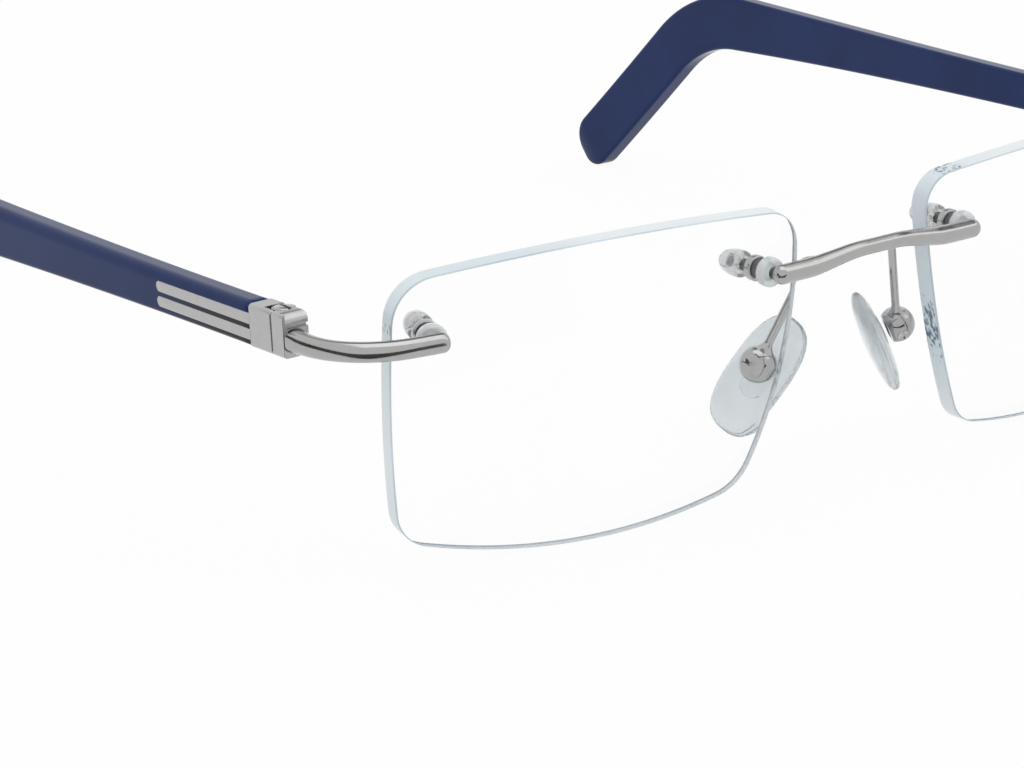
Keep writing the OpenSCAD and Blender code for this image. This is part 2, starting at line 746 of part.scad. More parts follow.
// Pad arm: a bent wire brazed to the back of the bridge, with the round box for the pad lug
module pad_arm() {
    color("silver")
        difference() {
            union() {
                skin(arm_rings);
                pad_frame()
                    difference() {
                        sphere(d = box_d);
                        translate([box_face, -box_d, -box_d]) cube(2 * box_d);
                    }
            }
            skin(bridge_rings(seat_gap));
            pad_frame() {
                translate([-lug_r - lug_gap, -lug_t / 2 - lug_gap, -lug_r - 2 * lug_gap])
                    cube([box_d, lug_t + 2 * lug_gap, 2 * lug_r + 4 * lug_gap]);
                pad_screw_bore(pad_screw_d + 2 * seat_gap);
                rotate([90, 0, 0])
                    translate([0, 0, pad_head_at - pad_head_h - seat_gap])
                        cylinder(d = pad_head_d + 2 * seat_gap, h = box_d);
            }
        }
}
module pad_screw() {
    color("gainsboro")
        pad_frame()
            rotate([90, 0, 0])
                translate([0, 0, pad_head_at])
                    slotted_screw(pad_screw_d, 2 * pad_head_at, pad_head_d, pad_head_h);
}
// Insert: a plate that the pad is moulded over, and a drilled lug that enters the pad box
module insert_body(grow) {
    translate([insert_at - grow, 0, -pad_hang])
        rotate([90, 0, 90])
            linear_extrude(insert_t + 2 * grow) {
                square([insert_w + 2 * grow, insert_l - insert_w], center = true);
                for (side = [-1, 1])
                    translate([0, side * (insert_l - insert_w) / 2])
                        circle(d = insert_w + 2 * grow);
            }
    translate([0, -lug_t / 2 - grow, -lug_r - grow])
        cube([insert_at + insert_t / 2, lug_t + 2 * grow, 2 * (lug_r + grow)]);
    rotate([90, 0, 0]) cylinder(r = lug_r + grow, h = lug_t + 2 * grow, center = true);
}
module pad_insert() {
    color([0.93, 0.96, 0.97, 0.5])
        pad_frame()
            difference() {
                insert_body(0);
                pad_screw_bore(pad_screw_d + 2 * run_fit);
            }
}
module nose_pad() {
    color([0.9, 0.94, 0.96, 0.5])
        pad_frame()
            difference() {
                skin([for (level = [0:pad_levels]) pad_ring(level)]);
                insert_body(seat_gap);
            }
}

right_side() lens();  // right_lens
left_side() lens();  // left_lens
right_side() bridge();
right_side() at_hole(nasal_uv) bushing();  // right_nasal_bushing
right_side() at_hole(temporal_uv) bushing();  // right_temporal_bushing
left_side() at_hole(nasal_uv) bushing();  // left_nasal_bushing
left_side() at_hole(temporal_uv) bushing();  // left_temporal_bushing
right_side() at_hole(nasal_uv) nut();  // right_nasal_nut
right_side() at_hole(temporal_uv) nut();  // right_temporal_nut
left_side() at_hole(nasal_uv) nut();  // left_nasal_nut
left_side() at_hole(temporal_uv) nut();  // left_temporal_nut
right_side() at_hole(nasal_uv) post_cap();  // right_nasal_cap
right_side() at_hole(temporal_uv) post_cap();  // right_temporal_cap
left_side() at_hole(nasal_uv) post_cap();  // left_nasal_cap
left_side() at_hole(temporal_uv) post_cap();  // left_temporal_cap
right_side() end_piece();  // right_end_piece
left_side() end_piece();  // left_end_piece
right_side() hinge_screw();  // right_hinge_screw
left_side() hinge_screw();  // left_hinge_screw
right_side() temple_hinge();  // right_temple_hinge
left_side() temple_hinge();  // left_temple_hinge
right_side() temple();  // right_temple
left_side() temple();  // left_temple
right_side() core_wire();  // right_core_wire
left_side() core_wire();  // left_core_wire
right_side() pad_arm();  // right_pad_arm
left_side() pad_arm();  // left_pad_arm
right_side() pad_screw();  // right_pad_screw
left_side() pad_screw();  // left_pad_screw
right_side() pad_insert();  // right_pad_insert
left_side() pad_insert();  // left_pad_insert
right_side() nose_pad();  // right_nose_pad
left_side() nose_pad();  // left_nose_pad
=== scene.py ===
"""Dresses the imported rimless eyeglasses: ground lenses, polished rods, hinges, temples and nose pads.

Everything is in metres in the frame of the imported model. +X is the wearer's left, the lenses face -Y
and +Z is up. Right-hand pieces are worked out on the -X side and mirrored for the left.
"""

import json
import math

import bmesh
import bpy
import numpy as np
from bpy.props import FloatProperty, FloatVectorProperty, PointerProperty
from mathutils import Matrix, Vector


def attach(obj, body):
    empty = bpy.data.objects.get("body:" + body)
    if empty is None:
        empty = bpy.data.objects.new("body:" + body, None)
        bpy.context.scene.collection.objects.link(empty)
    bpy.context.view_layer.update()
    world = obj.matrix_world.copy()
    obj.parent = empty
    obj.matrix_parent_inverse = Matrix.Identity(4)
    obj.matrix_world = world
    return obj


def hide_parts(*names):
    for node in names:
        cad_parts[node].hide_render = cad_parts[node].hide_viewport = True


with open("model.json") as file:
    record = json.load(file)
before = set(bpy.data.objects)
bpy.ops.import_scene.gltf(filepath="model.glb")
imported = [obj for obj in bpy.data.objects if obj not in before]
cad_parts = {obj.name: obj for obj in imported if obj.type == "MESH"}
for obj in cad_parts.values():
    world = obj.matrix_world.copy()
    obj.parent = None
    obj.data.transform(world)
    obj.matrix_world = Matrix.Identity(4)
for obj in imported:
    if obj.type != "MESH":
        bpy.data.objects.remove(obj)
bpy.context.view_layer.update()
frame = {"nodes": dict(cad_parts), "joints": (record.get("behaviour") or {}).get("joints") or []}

bl_info = {
    "name": "Rimless Eyeglasses",
    "version": (1, 0, 0),
    "blender": (4, 5, 0),
    "location": "View3D > Sidebar > Eyeglasses",
    "description": "Builds the lenses, rods, hinges, temples and nose pads of rimless eyeglasses",
    "category": "Add Mesh",
}

MM = 0.001
SIDES = ("right", "left")
X_AXIS, Y_AXIS, Z_AXIS = np.eye(3)
JOINTS = {joint["name"]: joint for joint in frame["joints"]}
HINGE_AT = np.array(JOINTS["right_temple_fold"]["pos_m"])
PAD_AT = np.array(JOINTS["right_pad_rock"]["pos_m"])
# How much the exponent of the wire's section grows from a circle's to the rounded square of its root.
ROOT_SQUARE = 1.2
# Edges that bend by more than this many degrees stay sharp.
TURNED_SHARP, BLOCK_SHARP, ROD_SHARP, ROUND_SHARP = 32, 40, 50, 60
# Points nearer than this are merged: in new meshes, on slivers and on CAD nodes.
MERGE, SLIVER, WELD = 1e-7, 1e-8, 1e-6


def length(name, text, mm):
    """A length property with its default in millimetres."""
    return FloatProperty(name=name, description=text, default=mm * MM, unit="LENGTH", precision=5)


def angle(name, text, degrees):
    """An angle property with its default in degrees."""
    return FloatProperty(name=name, description=text, default=math.radians(degrees), unit="ROTATION")


def colour(name, text, rgb):
    """A colour property, as linear red, green and blue."""
    return FloatVectorProperty(
        name=name, description=text, default=rgb, size=3, min=0, max=1, subtype="COLOR"
    )


class LensSizes(bpy.types.PropertyGroup):
    """Outline and surfaces of a lens."""

    width: length("Width", "Boxed width of one lens", 52)
    height: length("Height", "Boxed height of one lens", 36)
    thickness: length("Thickness", "Thickness of a lens", 2.3)
    spacing: length("Spacing", "Distance between the two lens centres", 72)
    base_r: length("Base radius", "Radius of the front surface", 120)
    nasal_inset: length("Nasal inset", "Inset of the lower nasal corner", 7.4)
    top_rise: length("Top rise", "Rise of the top edge towards the nose", 1)
    bottom_fall: length("Bottom fall", "Fall of the bottom edge towards the nose", 0.9)
    temporal_lean: length("Temporal lean", "Outward lean of the temporal edge", 0.5)
    crown_bottom: length("Bottom crown", "Bulge of the bottom edge", 2.8)
    crown_nasal: length("Nasal crown", "Bulge of the nasal edge", 2)
    crown_top: length("Top crown", "Bulge of the top edge", 1.8)
    crown_temporal: length("Temporal crown", "Bulge of the temporal edge", 1.1)
    corner_bt: length("Lower temporal corner", "Corner radius", 4.9)
    corner_bn: length("Lower nasal corner", "Corner radius", 5.8)
    corner_tn: length("Upper nasal corner", "Corner radius", 4.4)
    corner_tt: length("Upper temporal corner", "Corner radius", 5.7)
    bevel: length("Safety bevel", "Width of the bevel ground on both rims", 0.14)
    wrap: angle("Wrap", "Turn of each lens around the face", 8)
    panto: angle("Lean", "Forward lean of the lens tops", 5)


class MountSizes(bpy.types.PropertyGroup):
    """Drilled mounts that carry the rods on the lenses."""

    nasal_in: length("Nasal hole in", "Nasal hole from the boxed nasal edge", 4.9)
    nasal_drop: length("Nasal hole drop", "Nasal hole below the boxed top edge", 7.4)
    temporal_in: length("Temporal hole in", "Temporal hole from the boxed temporal edge", 4.6)
    temporal_drop: length("Temporal hole drop", "Temporal hole below the boxed top edge", 8.4)
    hole_d: length("Hole", "Diameter of the hole through the lens", 2.2)
    post_d: length("Post", "Diameter of the threaded post", 1.4)
    pitch: length("Thread pitch", "Pitch of the post thread", 0.35)
    thread: length("Thread depth", "Depth of the post thread", 0.11)
    bushing_d: length("Bushing", "Diameter of the bushing flange", 3.5)
    bushing_t: length("Flange", "Thickness of the bushing flange", 1.2)
    nut_d: length("Nut", "Diameter of the round nut", 3)
    nut_t: length("Nut height", "Thickness of the nut", 1)
    bare: length("Bare post", "Bare post between nut and cap", 0.8)
    cap_d: length("Cap", "Diameter of the protective cap", 3.2)
    cap_l: length("Cap length", "Length of the protective cap", 4.4)
    cap_grip: length("Cap grip", "Depth of the post in its cap", 2.5)
    cap_open: length("Short skirt", "How far the cap's skirt stops short of its full length", 0.7)
    gap: length("Seat gap", "Gap between seated faces", 0.03)
    edge: length("Edge", "Rounding of the small turned edges", 0.18)


class RodSizes(bpy.types.PropertyGroup):
    """Bridge rod and the bent wires of the end pieces."""

    bridge_d: length("Bridge", "Bridge diameter over the lenses", 2.3)
    waist_d: length("Waist", "Bridge diameter at its middle", 1.8)
    rise: length("Rise", "Height of the bridge arch", 0.8)
    straight: length("Straight", "Straight rod from a nasal hole to the first bend", 4.9)
    flat: length("Flat", "Length of the raised middle", 7)
    bridge_bend: length("Bridge bend", "Radius of the bridge bends", 22)
    bridge_over: length("Bridge end", "Straight rod past the nasal post", -0.2)
    bridge_end_r: length("Bridge end rounding", "Edge radius of the bridge ends", 1.1)
    end_r: length("Wire end rounding", "Edge radius of the wire ends", 0.8)
    wire_d: length("Wire", "Diameter of the end-piece wire", 2.3)
    wire_over: length("Wire end", "Straight wire past the temporal post", 0.7)
    wire_bend: length("Wire bend", "Radius of the bend round to the hinge", 9.6)
    wire_yaw: angle("Wire slant", "Slant of the wire across the lens", 9)
    root_d: length("Wire root", "Diameter of the wire where it meets the hinge block", 2.75)
    root_run: length("Root run", "Length over which the wire thickens to its root", 8)
    square_run: length("Square run", "Length over which the wire turns square at its root", 2.5)
    root_in: length("Root inset", "Wire root inside the block's outer face", 0.02)
    hinge_out: length("Hinge out", "Hinge axis outboard of the temporal post", 10.6)
    hinge_back: length("Hinge back", "Hinge axis behind the temporal post", 13.8)
    hinge_lift: length("Hinge lift", "Hinge middle above the wire", 0.8)


class HingeSizes(bpy.types.PropertyGroup):
    """Two hinge blocks with interlocking knuckles."""

    height: length("Height", "Height of the hinge blocks", 5)
    outer: length("Outer", "Hinge axis to the outer face", 2)
    inner: length("Inner", "Hinge axis to the inner face", 1.35)
    front: length("Front", "Hinge axis to the front face", 2.6)
    back: length("Back", "Hinge axis to the rear face", 4.2)
    parting: length("Parting", "Parting line in front of the hinge axis", 0.15)
    tongue: length("Tongue", "Height of the middle knuckle", 1.8)
    edge_r: length("Edges", "Radius of the long block edges", 0.45)
    brow_r: length("Brow", "Radius of the front block's upper front edge", 1.2)
    brow_h: length("Brow height", "Height of the brow over the wire", 1.35)
    groove: length("Groove", "Height of the groove under the brow", 0.4)
    groove_t: length("Groove depth", "Depth of the groove under the brow", 0.45)
    wall: length("Wall", "Outer wall beside the brow and its groove", 0.35)
    screw_d: length("Screw", "Diameter of the hinge screw", 1.2)
    head_d: length("Head", "Diameter of the screw head", 2.3)
    head_h: length("Head height", "Height of the screw head", 0.5)
    dome: length("Dome", "Rise of the domed screw head over the block", 0.22)
    cut_w: length("Slot width", "Width of the driver slot", 0.36)
    cut_t: length("Slot depth", "Depth of the driver slot", 0.34)
    run_fit: length("Running fit", "Radial clearance of the screw", 0.04)
    gap: length("Clearance", "Clearance beside moving faces", 0.1)
    fold_gap: length("Fold room", "Room behind the knuckles", 0.25)


class TempleSizes(bpy.types.PropertyGroup):
    """Temple with its ear bend and the two bars on its outer face."""

    splay: angle("Splay", "Outward turn of each temple", 2.8)
    reach: length("Reach", "Hinge axis to the start of the ear bend", 95)
    height: length("Height", "Height at the hinge block", 4.9)
    ear_height: length("Ear height", "Height at the ear bend", 8.4)
    tip_height: length("Tip height", "Height of the tip", 8.6)
    thickness: length("Thickness", "Thickness of the temple", 3.1)
    top_r: length("Upper edge", "Radius of the upper outer edge", 1.3)
    edge_r: length("Edges", "Radius of the other edges", 0.5)
    ear_r: length("Ear bend", "Radius of the ear bend", 25)
    ear_angle: angle("Ear drop", "Drop of the tip", 42)
    ear_in: length("Inward", "Inward curve of the tip", 4)
    ear_in_from: length("Inward from", "Where the inward curve starts", 60)
    bar_l: length("Bars", "Length of the two bars", 19.3)
    bar_h: length("Bar height", "Height of each bar", 1.3)
    bar_gap: length("Bar gap", "Gap between the bars", 0.5)
    bar_drop: length("Bar drop", "Bars below the middle of the temple", 0.15)
    bar_t: length("Bar depth", "Depth of the bars in the temple", 0.55)
    bar_proud: length("Bar rise", "How far the bars stand proud", 0.12)
    bar_over: length("Bars over block", "Bars' faces over the block's outer face", 0.01)
    bar_ease: length("Bar easing", "Softened rim of the bars", 0.1)
    lead: length("Lead", "Run over which the front rim of the temple eases", 0.12)


class PadSizes(bpy.types.PropertyGroup):
    """Nose pads."""

    splay: angle("Splay", "Turn away from each other at the back", 28)
    frontal: angle("Frontal", "Turn away from each other at the bottom", 23)
    lean: angle("Lean", "Forward lean of the pad tops", 30)
    length: length("Length", "Length of a pad", 15.8)
    width: length("Width", "Width of a pad", 8.4)
    thickness: length("Thickness", "Thickness of a pad", 2.6)
    hang: length("Hang", "How far the pad hangs below its pivot", 1.2)
    floor: length("Floor", "Pivot to the back of the pad", 1.85)
    arm_d: length("Arm", "Diameter of the pad arm", 1)
    arm_root_in: length("Arm root", "Arm root in from the foot of the bridge arch", 2.9)
    knee_back: length("Knee back", "Knee of the arm behind the bridge", 5.6)
    knee_drop: length("Knee drop", "Knee of the arm below the bridge", 1)
    arm_bend: length("Arm bend", "Radius of the knee", 2.4)
    flare_d: length("Flare", "Diameter of the arm where it meets the box", 2.5)
    flare_l: length("Flare length", "Length of the flare outside the box", 1.5)
    box_d: length("Box", "Diameter of the round pad box", 4.4)
    box_face: length("Box face", "Pivot to the flat face of the box", 1.3)
    lug_t: length("Lug", "Thickness of the pad's lug", 1.1)
    lug_r: length("Lug radius", "Radius of the lug's round end", 1.05)
    lug_gap: length("Lug gap", "Clearance round the lug", 0.2)
    screw_d: length("Screw", "Diameter of the pad screw", 0.9)
    head_d: length("Head", "Diameter of the pad screw's head", 1.5)
    head_h: length("Head height", "Height of the pad screw's head", 0.45)


class Finishes(bpy.types.PropertyGroup):
    """Colours of the finishes."""

    metal: colour("Metal", "Polished rods and boxes", (0.4, 0.398, 0.395))
    satin: colour("Satin metal", "Hinge blocks and bars", (0.45, 0.45, 0.448))
    thread: colour("Threads", "Threaded posts", (0.12, 0.118, 0.115))
    navy: colour("Temple", "Glossy temple plastic", (0.008, 0.023, 0.1))
    # Painted shade: the charcoal under and between the temple's bars.
    bar_shade_tint: colour("Bar field", "Field behind the bars", (0.02, 0.02, 0.021))
    glass: colour("Lens", "Clear lens", (1.0, 1.0, 1.0))
    edge: colour("Lens edge", "Ground rim of a lens", (0.86, 0.9, 0.915))
    edge_cool: colour("Lens edge, cool", "Cooler stretches of a lens rim", (0.74, 0.82, 0.86))
    # Painted reflection: dark marks on a lens rim that stand in for pad, arm and rod seen inside the
    # glass.
    painted_reflection: colour("Lens edge painted reflections", "Dark glints inside a lens rim", (0.12, 0.175, 0.25))
    # Painted shade: the bevels are coloured darker than the rim they are ground from.
    bevel: colour("Lens bevel", "Narrow bevels of a lens rim", (0.56, 0.64, 0.69))
    hole: colour("Lens holes", "Drilled walls of the lens holes", (0.13, 0.13, 0.13))
    cap: colour("Caps", "Clear plastic of the caps", (0.66, 0.675, 0.68))
    bushing: colour("Bushings", "Clear plastic of the bushings", (0.92, 0.945, 0.95))
    silicone: colour("Silicone", "Nose pads", (0.7, 0.745, 0.765))


class StageSettings(bpy.types.PropertyGroup):
    """Camera place, floor and light."""

    camera: FloatVectorProperty(
        name="Camera", description="Place of the camera", size=3, unit="LENGTH",
        default=(-0.23376, -0.34448, 0.12625), precision=5,
    )
    lens: FloatProperty(
        name="Focal length", description="Focal length on a 36 mm sensor, in millimetres",
        default=110.92,
    )
    floor_r: length("Floor", "Radius of the floor", 4000)
    sky: FloatProperty(name="Sky", description="Strength of the room light", default=0.82)
    key: FloatProperty(
        name="Key light", description="Power of the overhead soft light", default=1.5, unit="POWER"
    )
    fill: FloatProperty(
        name="Fill light", description="Power of the soft light on the right", default=1.05,
        unit="POWER",
    )


GROUPS = {
    "lens": LensSizes,
    "mount": MountSizes,
    "rod": RodSizes,
    "hinge": HingeSizes,
    "temple": TempleSizes,
    "pad": PadSizes,
    "finish": Finishes,
    "stage": StageSettings,
}


def sizes(name):
    """The settings group of that name on the scene."""
    return getattr(bpy.context.scene, "glasses_" + name)


# Frames and paths


def turn(axis, radians):
    """Rotation matrix about X, Y or Z, given by its number."""
    c, s = math.cos(radians), math.sin(radians)
    i, j = [(1, 2), (2, 0), (0, 1)][axis]
    m = np.eye(3)
    m[i, i], m[i, j], m[j, i], m[j, j] = c, -s, s, c
    return m


def unit(v):
    """Vectors scaled to length one along the last axis."""
    return v / np.linalg.norm(v, axis=-1, keepdims=True)


def mirrored(points, side):
    """Points as they are for the right side, and mirrored across the middle for the left."""
    return points * ([1, 1, 1] if side == "right" else [-1, 1, 1])


def stood(points):
    """Glasses axes to the standing frame, by what puts the worked-out hinge on the real one."""
    rod = sizes("rod")
    out = np.array([-rod.hinge_out, rod.hinge_back, rod.hinge_lift])
    return points + (HINGE_AT - out - post_foot("temporal"))


def rod_off(spot):
    """Rod axis in front of the lens at a hole: flange, two seat gaps and half the rod."""
    mount, rod = sizes("mount"), sizes("rod")
    thick = rod.bridge_d if spot == "nasal" else rod.wire_d
    return mount.bushing_t + 2 * mount.gap + thick / 2


def lens_turn():
    """The lens leaned by its tilt after it is turned round the face."""
    lens = sizes("lens")
    return turn(0, lens.panto) @ turn(2, -lens.wrap)


def lens_to_front(points):
    """Lens axes to glasses axes, before the glasses are stood on the floor."""
    middle = turn(0, sizes("lens").panto) @ np.array([-sizes("lens").spacing / 2, 0, 0])
    return points @ lens_turn().T + middle


def hole_place(spot):
    """The hole's place (u, v) on the lens."""
    lens, mount = sizes("lens"), sizes("mount")
    if spot == "nasal":
        return np.array([lens.width / 2 - mount.nasal_in, lens.height / 2 - mount.nasal_drop])
    return np.array([mount.temporal_in - lens.width / 2, lens.height / 2 - mount.temporal_drop])


def hole_axes(spot):
    """Origin and axes of a hole in lens axes: front surface point, two across and outward normal."""
    r = sizes("lens").base_r
    u, v = hole_place(spot)
    tilt = math.asin(v / r)
    swing = math.asin(u / (r * math.cos(tilt)))
    m = turn(2, swing) @ turn(0, -tilt)
    return np.array([0, r, 0]) - m @ np.array([0, r, 0]), m @ X_AXIS, m @ Z_AXIS, -m @ Y_AXIS


def from_hole(points, spot):
    """Points of a mount, with Z out of the lens front, to glasses axes."""
    origin, across, up, out = hole_axes(spot)
    x, y, z = points[..., :1], points[..., 1:2], points[..., 2:]
    return lens_to_front(origin + x * across + y * up + z * out)


def post_foot(spot):
    """The point on the rod's axis over a hole, in glasses axes."""
    return from_hole(np.array([0, 0, rod_off(spot)]), spot)


def from_hinge(points):
    """Hinge axes, with Y along the temple, to the standing frame."""
    return points @ turn(2, sizes("temple").splay).T + HINGE_AT


def from_pad(points):
    """Pad axes, with X to the nose and Z up the pad, to the standing frame."""
    pad = sizes("pad")
    m = turn(2, pad.splay) @ turn(1, pad.frontal) @ turn(0, pad.lean)
    return points @ m.T + PAD_AT


def bent_path(corners, radius, step=math.radians(3), gap=0.4 * MM):
    """Points and directions along straight legs joined by bends of one radius.

    At each corner the bend is an arc that touches both legs; each leg is filled with even steps.
    """
    corners = np.asarray(corners, float)
    dirs = unit(np.diff(corners, axis=0))
    points, ways = [corners[:1]], [dirs[:1]]

    def leg(end, way):
        start = points[-1][-1]
        n = max(int(np.linalg.norm(end - start) / gap), 1)
        t = np.linspace(0, 1, n + 1)[1:, None]
        points.append(start + (end - start) * t)
        ways.append(np.repeat(way[None], n, axis=0))

    for corner, a, b in zip(corners[1:-1], dirs[:-1], dirs[1:]):
        swing = math.acos(np.clip(a @ b, -1, 1))
        out = np.cross(a, unit(np.cross(a, b)))
        leg(corner - a * radius * math.tan(swing / 2), a)
        centre = points[-1][-1] - out * radius
        t = np.linspace(0, swing, max(int(swing / step), 4) + 1)[1:, None]
        points.append(centre + (out * np.cos(t) + a * np.sin(t)) * radius)
        ways.append(a * np.cos(t) - out * np.sin(t))
    leg(corners[-1], dirs[-1])
    return np.concatenate(points), np.concatenate(ways)


def rounded_end(points, ways, radii, first, edge, steps=8):
    """Adds the stations of a rounded end: the radius shrinks by a quarter circle as the rod ends."""
    k, sign = (0, -1) if first else (-1, 1)
    a = np.linspace(0, np.pi / 2, steps + 1)[1:]
    more = points[k] + sign * ways[k] * (edge * np.sin(a))[:, None]
    way = np.repeat(ways[k][None], steps, axis=0)
    shrunk = radii[k] - edge * (1 - np.cos(a))
    pairs = ((points, more), (ways, way), (radii, shrunk))
    if first:
        return tuple(np.concatenate([new[::-1], old]) for old, new in pairs)
    return tuple(np.concatenate([old, new]) for old, new in pairs)


def superellipse(a, b, t, square):
    """Curve of half widths a and b: an exponent of 2 is an ellipse, a larger one is squarer."""
    c, s = np.cos(t), np.sin(t)
    p = 2 / square
    return a * np.sign(c) * np.abs(c) ** p, b * np.sign(s) * np.abs(s) ** p


def swept_rod(points, ways, radii, normal, sides=48, square=2.0):
    """Grid of a rod: superellipse rings about each station, across its direction.

    normal is the direction square to the bend plane. square is the exponent of the ring, or one for
    each station: 2 is a circle and larger ones come close to a square.
    """
    normal = np.broadcast_to(normal, points.shape)
    side = unit(np.cross(normal, ways))
    a = np.linspace(0, 2 * np.pi, sides, endpoint=False)
    up, out = superellipse(1, 1, a, np.broadcast_to(square, len(points))[:, None])
    ring = normal[:, None] * up[..., None] + side[:, None] * out[..., None]
    return points[:, None] + ring * np.asarray(radii)[:, None, None]


def lathe(profile, sides=48):
    """Grid of a turned piece: each profile point (radius, height) carried round the Z axis."""
    profile = np.asarray(profile, float)
    a = np.linspace(0, 2 * np.pi, sides, endpoint=False)
    r, z = profile[:, :1], profile[:, 1:]
    return np.stack([r * np.cos(a), r * np.sin(a), np.broadcast_to(z, (len(z), sides))], axis=-1)


def round_corner(centre, radius, start, end, steps=6):
    """Profile points of a rounded edge: an arc between two angles in degrees."""
    a = np.radians(np.linspace(start, end, steps + 1))
    return [(centre[0] + radius * math.cos(t), centre[1] + radius * math.sin(t)) for t in a]


# Meshes


class Shell:
    """Vertices and faces of one piece, gathered grid by grid."""

    def __init__(self):
        self.points, self.faces, self.slots, self.count = [], [], [], 0

    def grid(self, points, ring=True, loop=False, slot=0):
        """Quads over a grid of points. ring joins the last column to the first, loop the last row."""
        rows, cols = points.shape[:2]
        index = self.count + np.arange(rows * cols).reshape(rows, cols)
        if ring:
            index = np.concatenate([index, index[:, :1]], axis=1)
        if loop:
            index = np.concatenate([index, index[:1]], axis=0)
        quads = np.stack([index[:-1, :-1], index[:-1, 1:], index[1:, 1:], index[1:, :-1]], axis=-1)
        self.points.append(points.reshape(-1, 3))
        self.faces.append(quads.reshape(-1, 4))
        self.slots.append(np.full(len(self.faces[-1]), slot))
        self.count += rows * cols
        return self

    def tube(self, points, slot=0):
        """A closed tube: a grid of rings with its two ends drawn in to their middles."""
        ends = points[[0, -1]].mean(axis=1, keepdims=True)
        first, last = np.repeat(ends, points.shape[1], axis=1)[:, None]
        return self.grid(np.concatenate([first, points, last]), slot=slot)

    def placed(self, place):
        """The same shell with its points moved by a function of points."""
        self.points = [place(p) for p in self.points]
        return self

    def mesh(self, name, side="right", sharp=TURNED_SHARP):
        """A mesh with doubles merged, faces turned outwards and smooth up to an angle in degrees."""
        points = mirrored(np.concatenate(self.points), side)
        mesh = bpy.data.meshes.new(name)
        mesh.from_pydata(points.tolist(), [], np.concatenate(self.faces).tolist())
        mesh.polygons.foreach_set("material_index", np.concatenate(self.slots).astype(np.int32))
        finish_mesh(mesh, sharp)
        return mesh


def finish_mesh(mesh, sharp):
    """Merges doubles, turns faces outwards and shades smooth up to an angle in degrees."""
    bm = bmesh.new()
    bm.from_mesh(mesh)
    bmesh.ops.remove_doubles(bm, verts=bm.verts, dist=MERGE)
    bmesh.ops.dissolve_degenerate(bm, edges=bm.edges, dist=SLIVER)
    bmesh.ops.recalc_face_normals(bm, faces=bm.faces)
    bm.to_mesh(mesh)
    bm.free()
    mesh.polygons.foreach_set("use_smooth", np.ones(len(mesh.polygons), bool))
    mesh.set_sharp_from_angle(angle=math.radians(sharp))


def mesh_points(mesh, side):
    """The places of a mesh's vertices, mirrored back to the right-hand side."""
    points = np.empty(len(mesh.vertices) * 3)
    mesh.vertices.foreach_get("co", points)
    return mirrored(points.reshape(-1, 3), side)


def store(mesh, name, values):
    """Stores a value on each vertex of a mesh, for its finish to read."""
    mesh.attributes.new(name, "FLOAT", "POINT").data.foreach_set("value", values)


def place_piece(mesh, looks, body, node):
    """Links a finished mesh as a piece with its finishes that rides on a body for a CAD node."""
    for look in looks:
        mesh.materials.append(finish(look))
    piece = bpy.data.objects.new(mesh.name, mesh)
    bpy.context.scene.collection.objects.link(piece)
    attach(piece, body)
    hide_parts(node)
    return piece


def carved(base, tools):
    """A mesh joined with or cut by others in turn: tools are pairs of an operation and a mesh."""
    scene = bpy.context.scene
    body = bpy.data.objects.new("carving", base)
    scene.collection.objects.link(body)
    helpers = []
    for operation, mesh in tools:
        helper = bpy.data.objects.new("carving_tool", mesh)
        scene.collection.objects.link(helper)
        helpers.append(helper)
        change = body.modifiers.new(operation, "BOOLEAN")
        change.operation, change.object, change.solver = operation, helper, "EXACT"
    graph = bpy.context.evaluated_depsgraph_get()
    result = bpy.data.meshes.new_from_object(body.evaluated_get(graph))
    for o in [body, *helpers]:
        data = o.data
        bpy.data.objects.remove(o)
        bpy.data.meshes.remove(data)
    return result


def box_mesh(low, high):
    """A plain cutting box between two corners, as a closed tube of two square rings."""
    (x0, y0, z0), (x1, y1, z1) = low, high
    ring = np.array([[x0, y0], [x1, y0], [x1, y1], [x0, y1]])
    rows = [np.column_stack([ring, np.full(4, z)]) for z in (z0, z1)]
    return Shell().tube(np.array(rows)).mesh("cut_box")


def pin_mesh(radius, low, high, reach=0, sides=64):
    """A round pin along Z between two heights, its back half drawn out along Y by a reach."""
    rings = lathe([(radius, low), (radius, high)], sides)
    rings[..., 1] += np.where(rings[..., 1] > 1e-9, reach, 0)
    return Shell().tube(rings).mesh("pin")


def prism_mesh(ring, low, high):
    """A prism along X: a flat outline (y, z) carried from one place to another."""
    rows = [np.column_stack([np.full(len(ring), x), ring]) for x in (low, high)]
    return Shell().tube(np.array(rows)).mesh("prism")


def moved(mesh, place, side):
    """A mesh with its vertices moved by a function of points, mirrored for the left side."""
    points = mirrored(place(mesh_points(mesh, "right")), side)
    mesh.vertices.foreach_set("co", points.ravel())
    return mesh


def joined(name, meshes):
    """One mesh of several, each with the material number of its place in the list."""
    bm = bmesh.new()
    for number, mesh in enumerate(meshes):
        mesh.polygons.foreach_set("material_index", np.full(len(mesh.polygons), number, np.int32))
        bm.from_mesh(mesh)
        bpy.data.meshes.remove(mesh)
    made = bpy.data.meshes.new(name)
    bm.to_mesh(made)
    bm.free()
    finish_mesh(made, BLOCK_SHARP)
    return made


# Materials


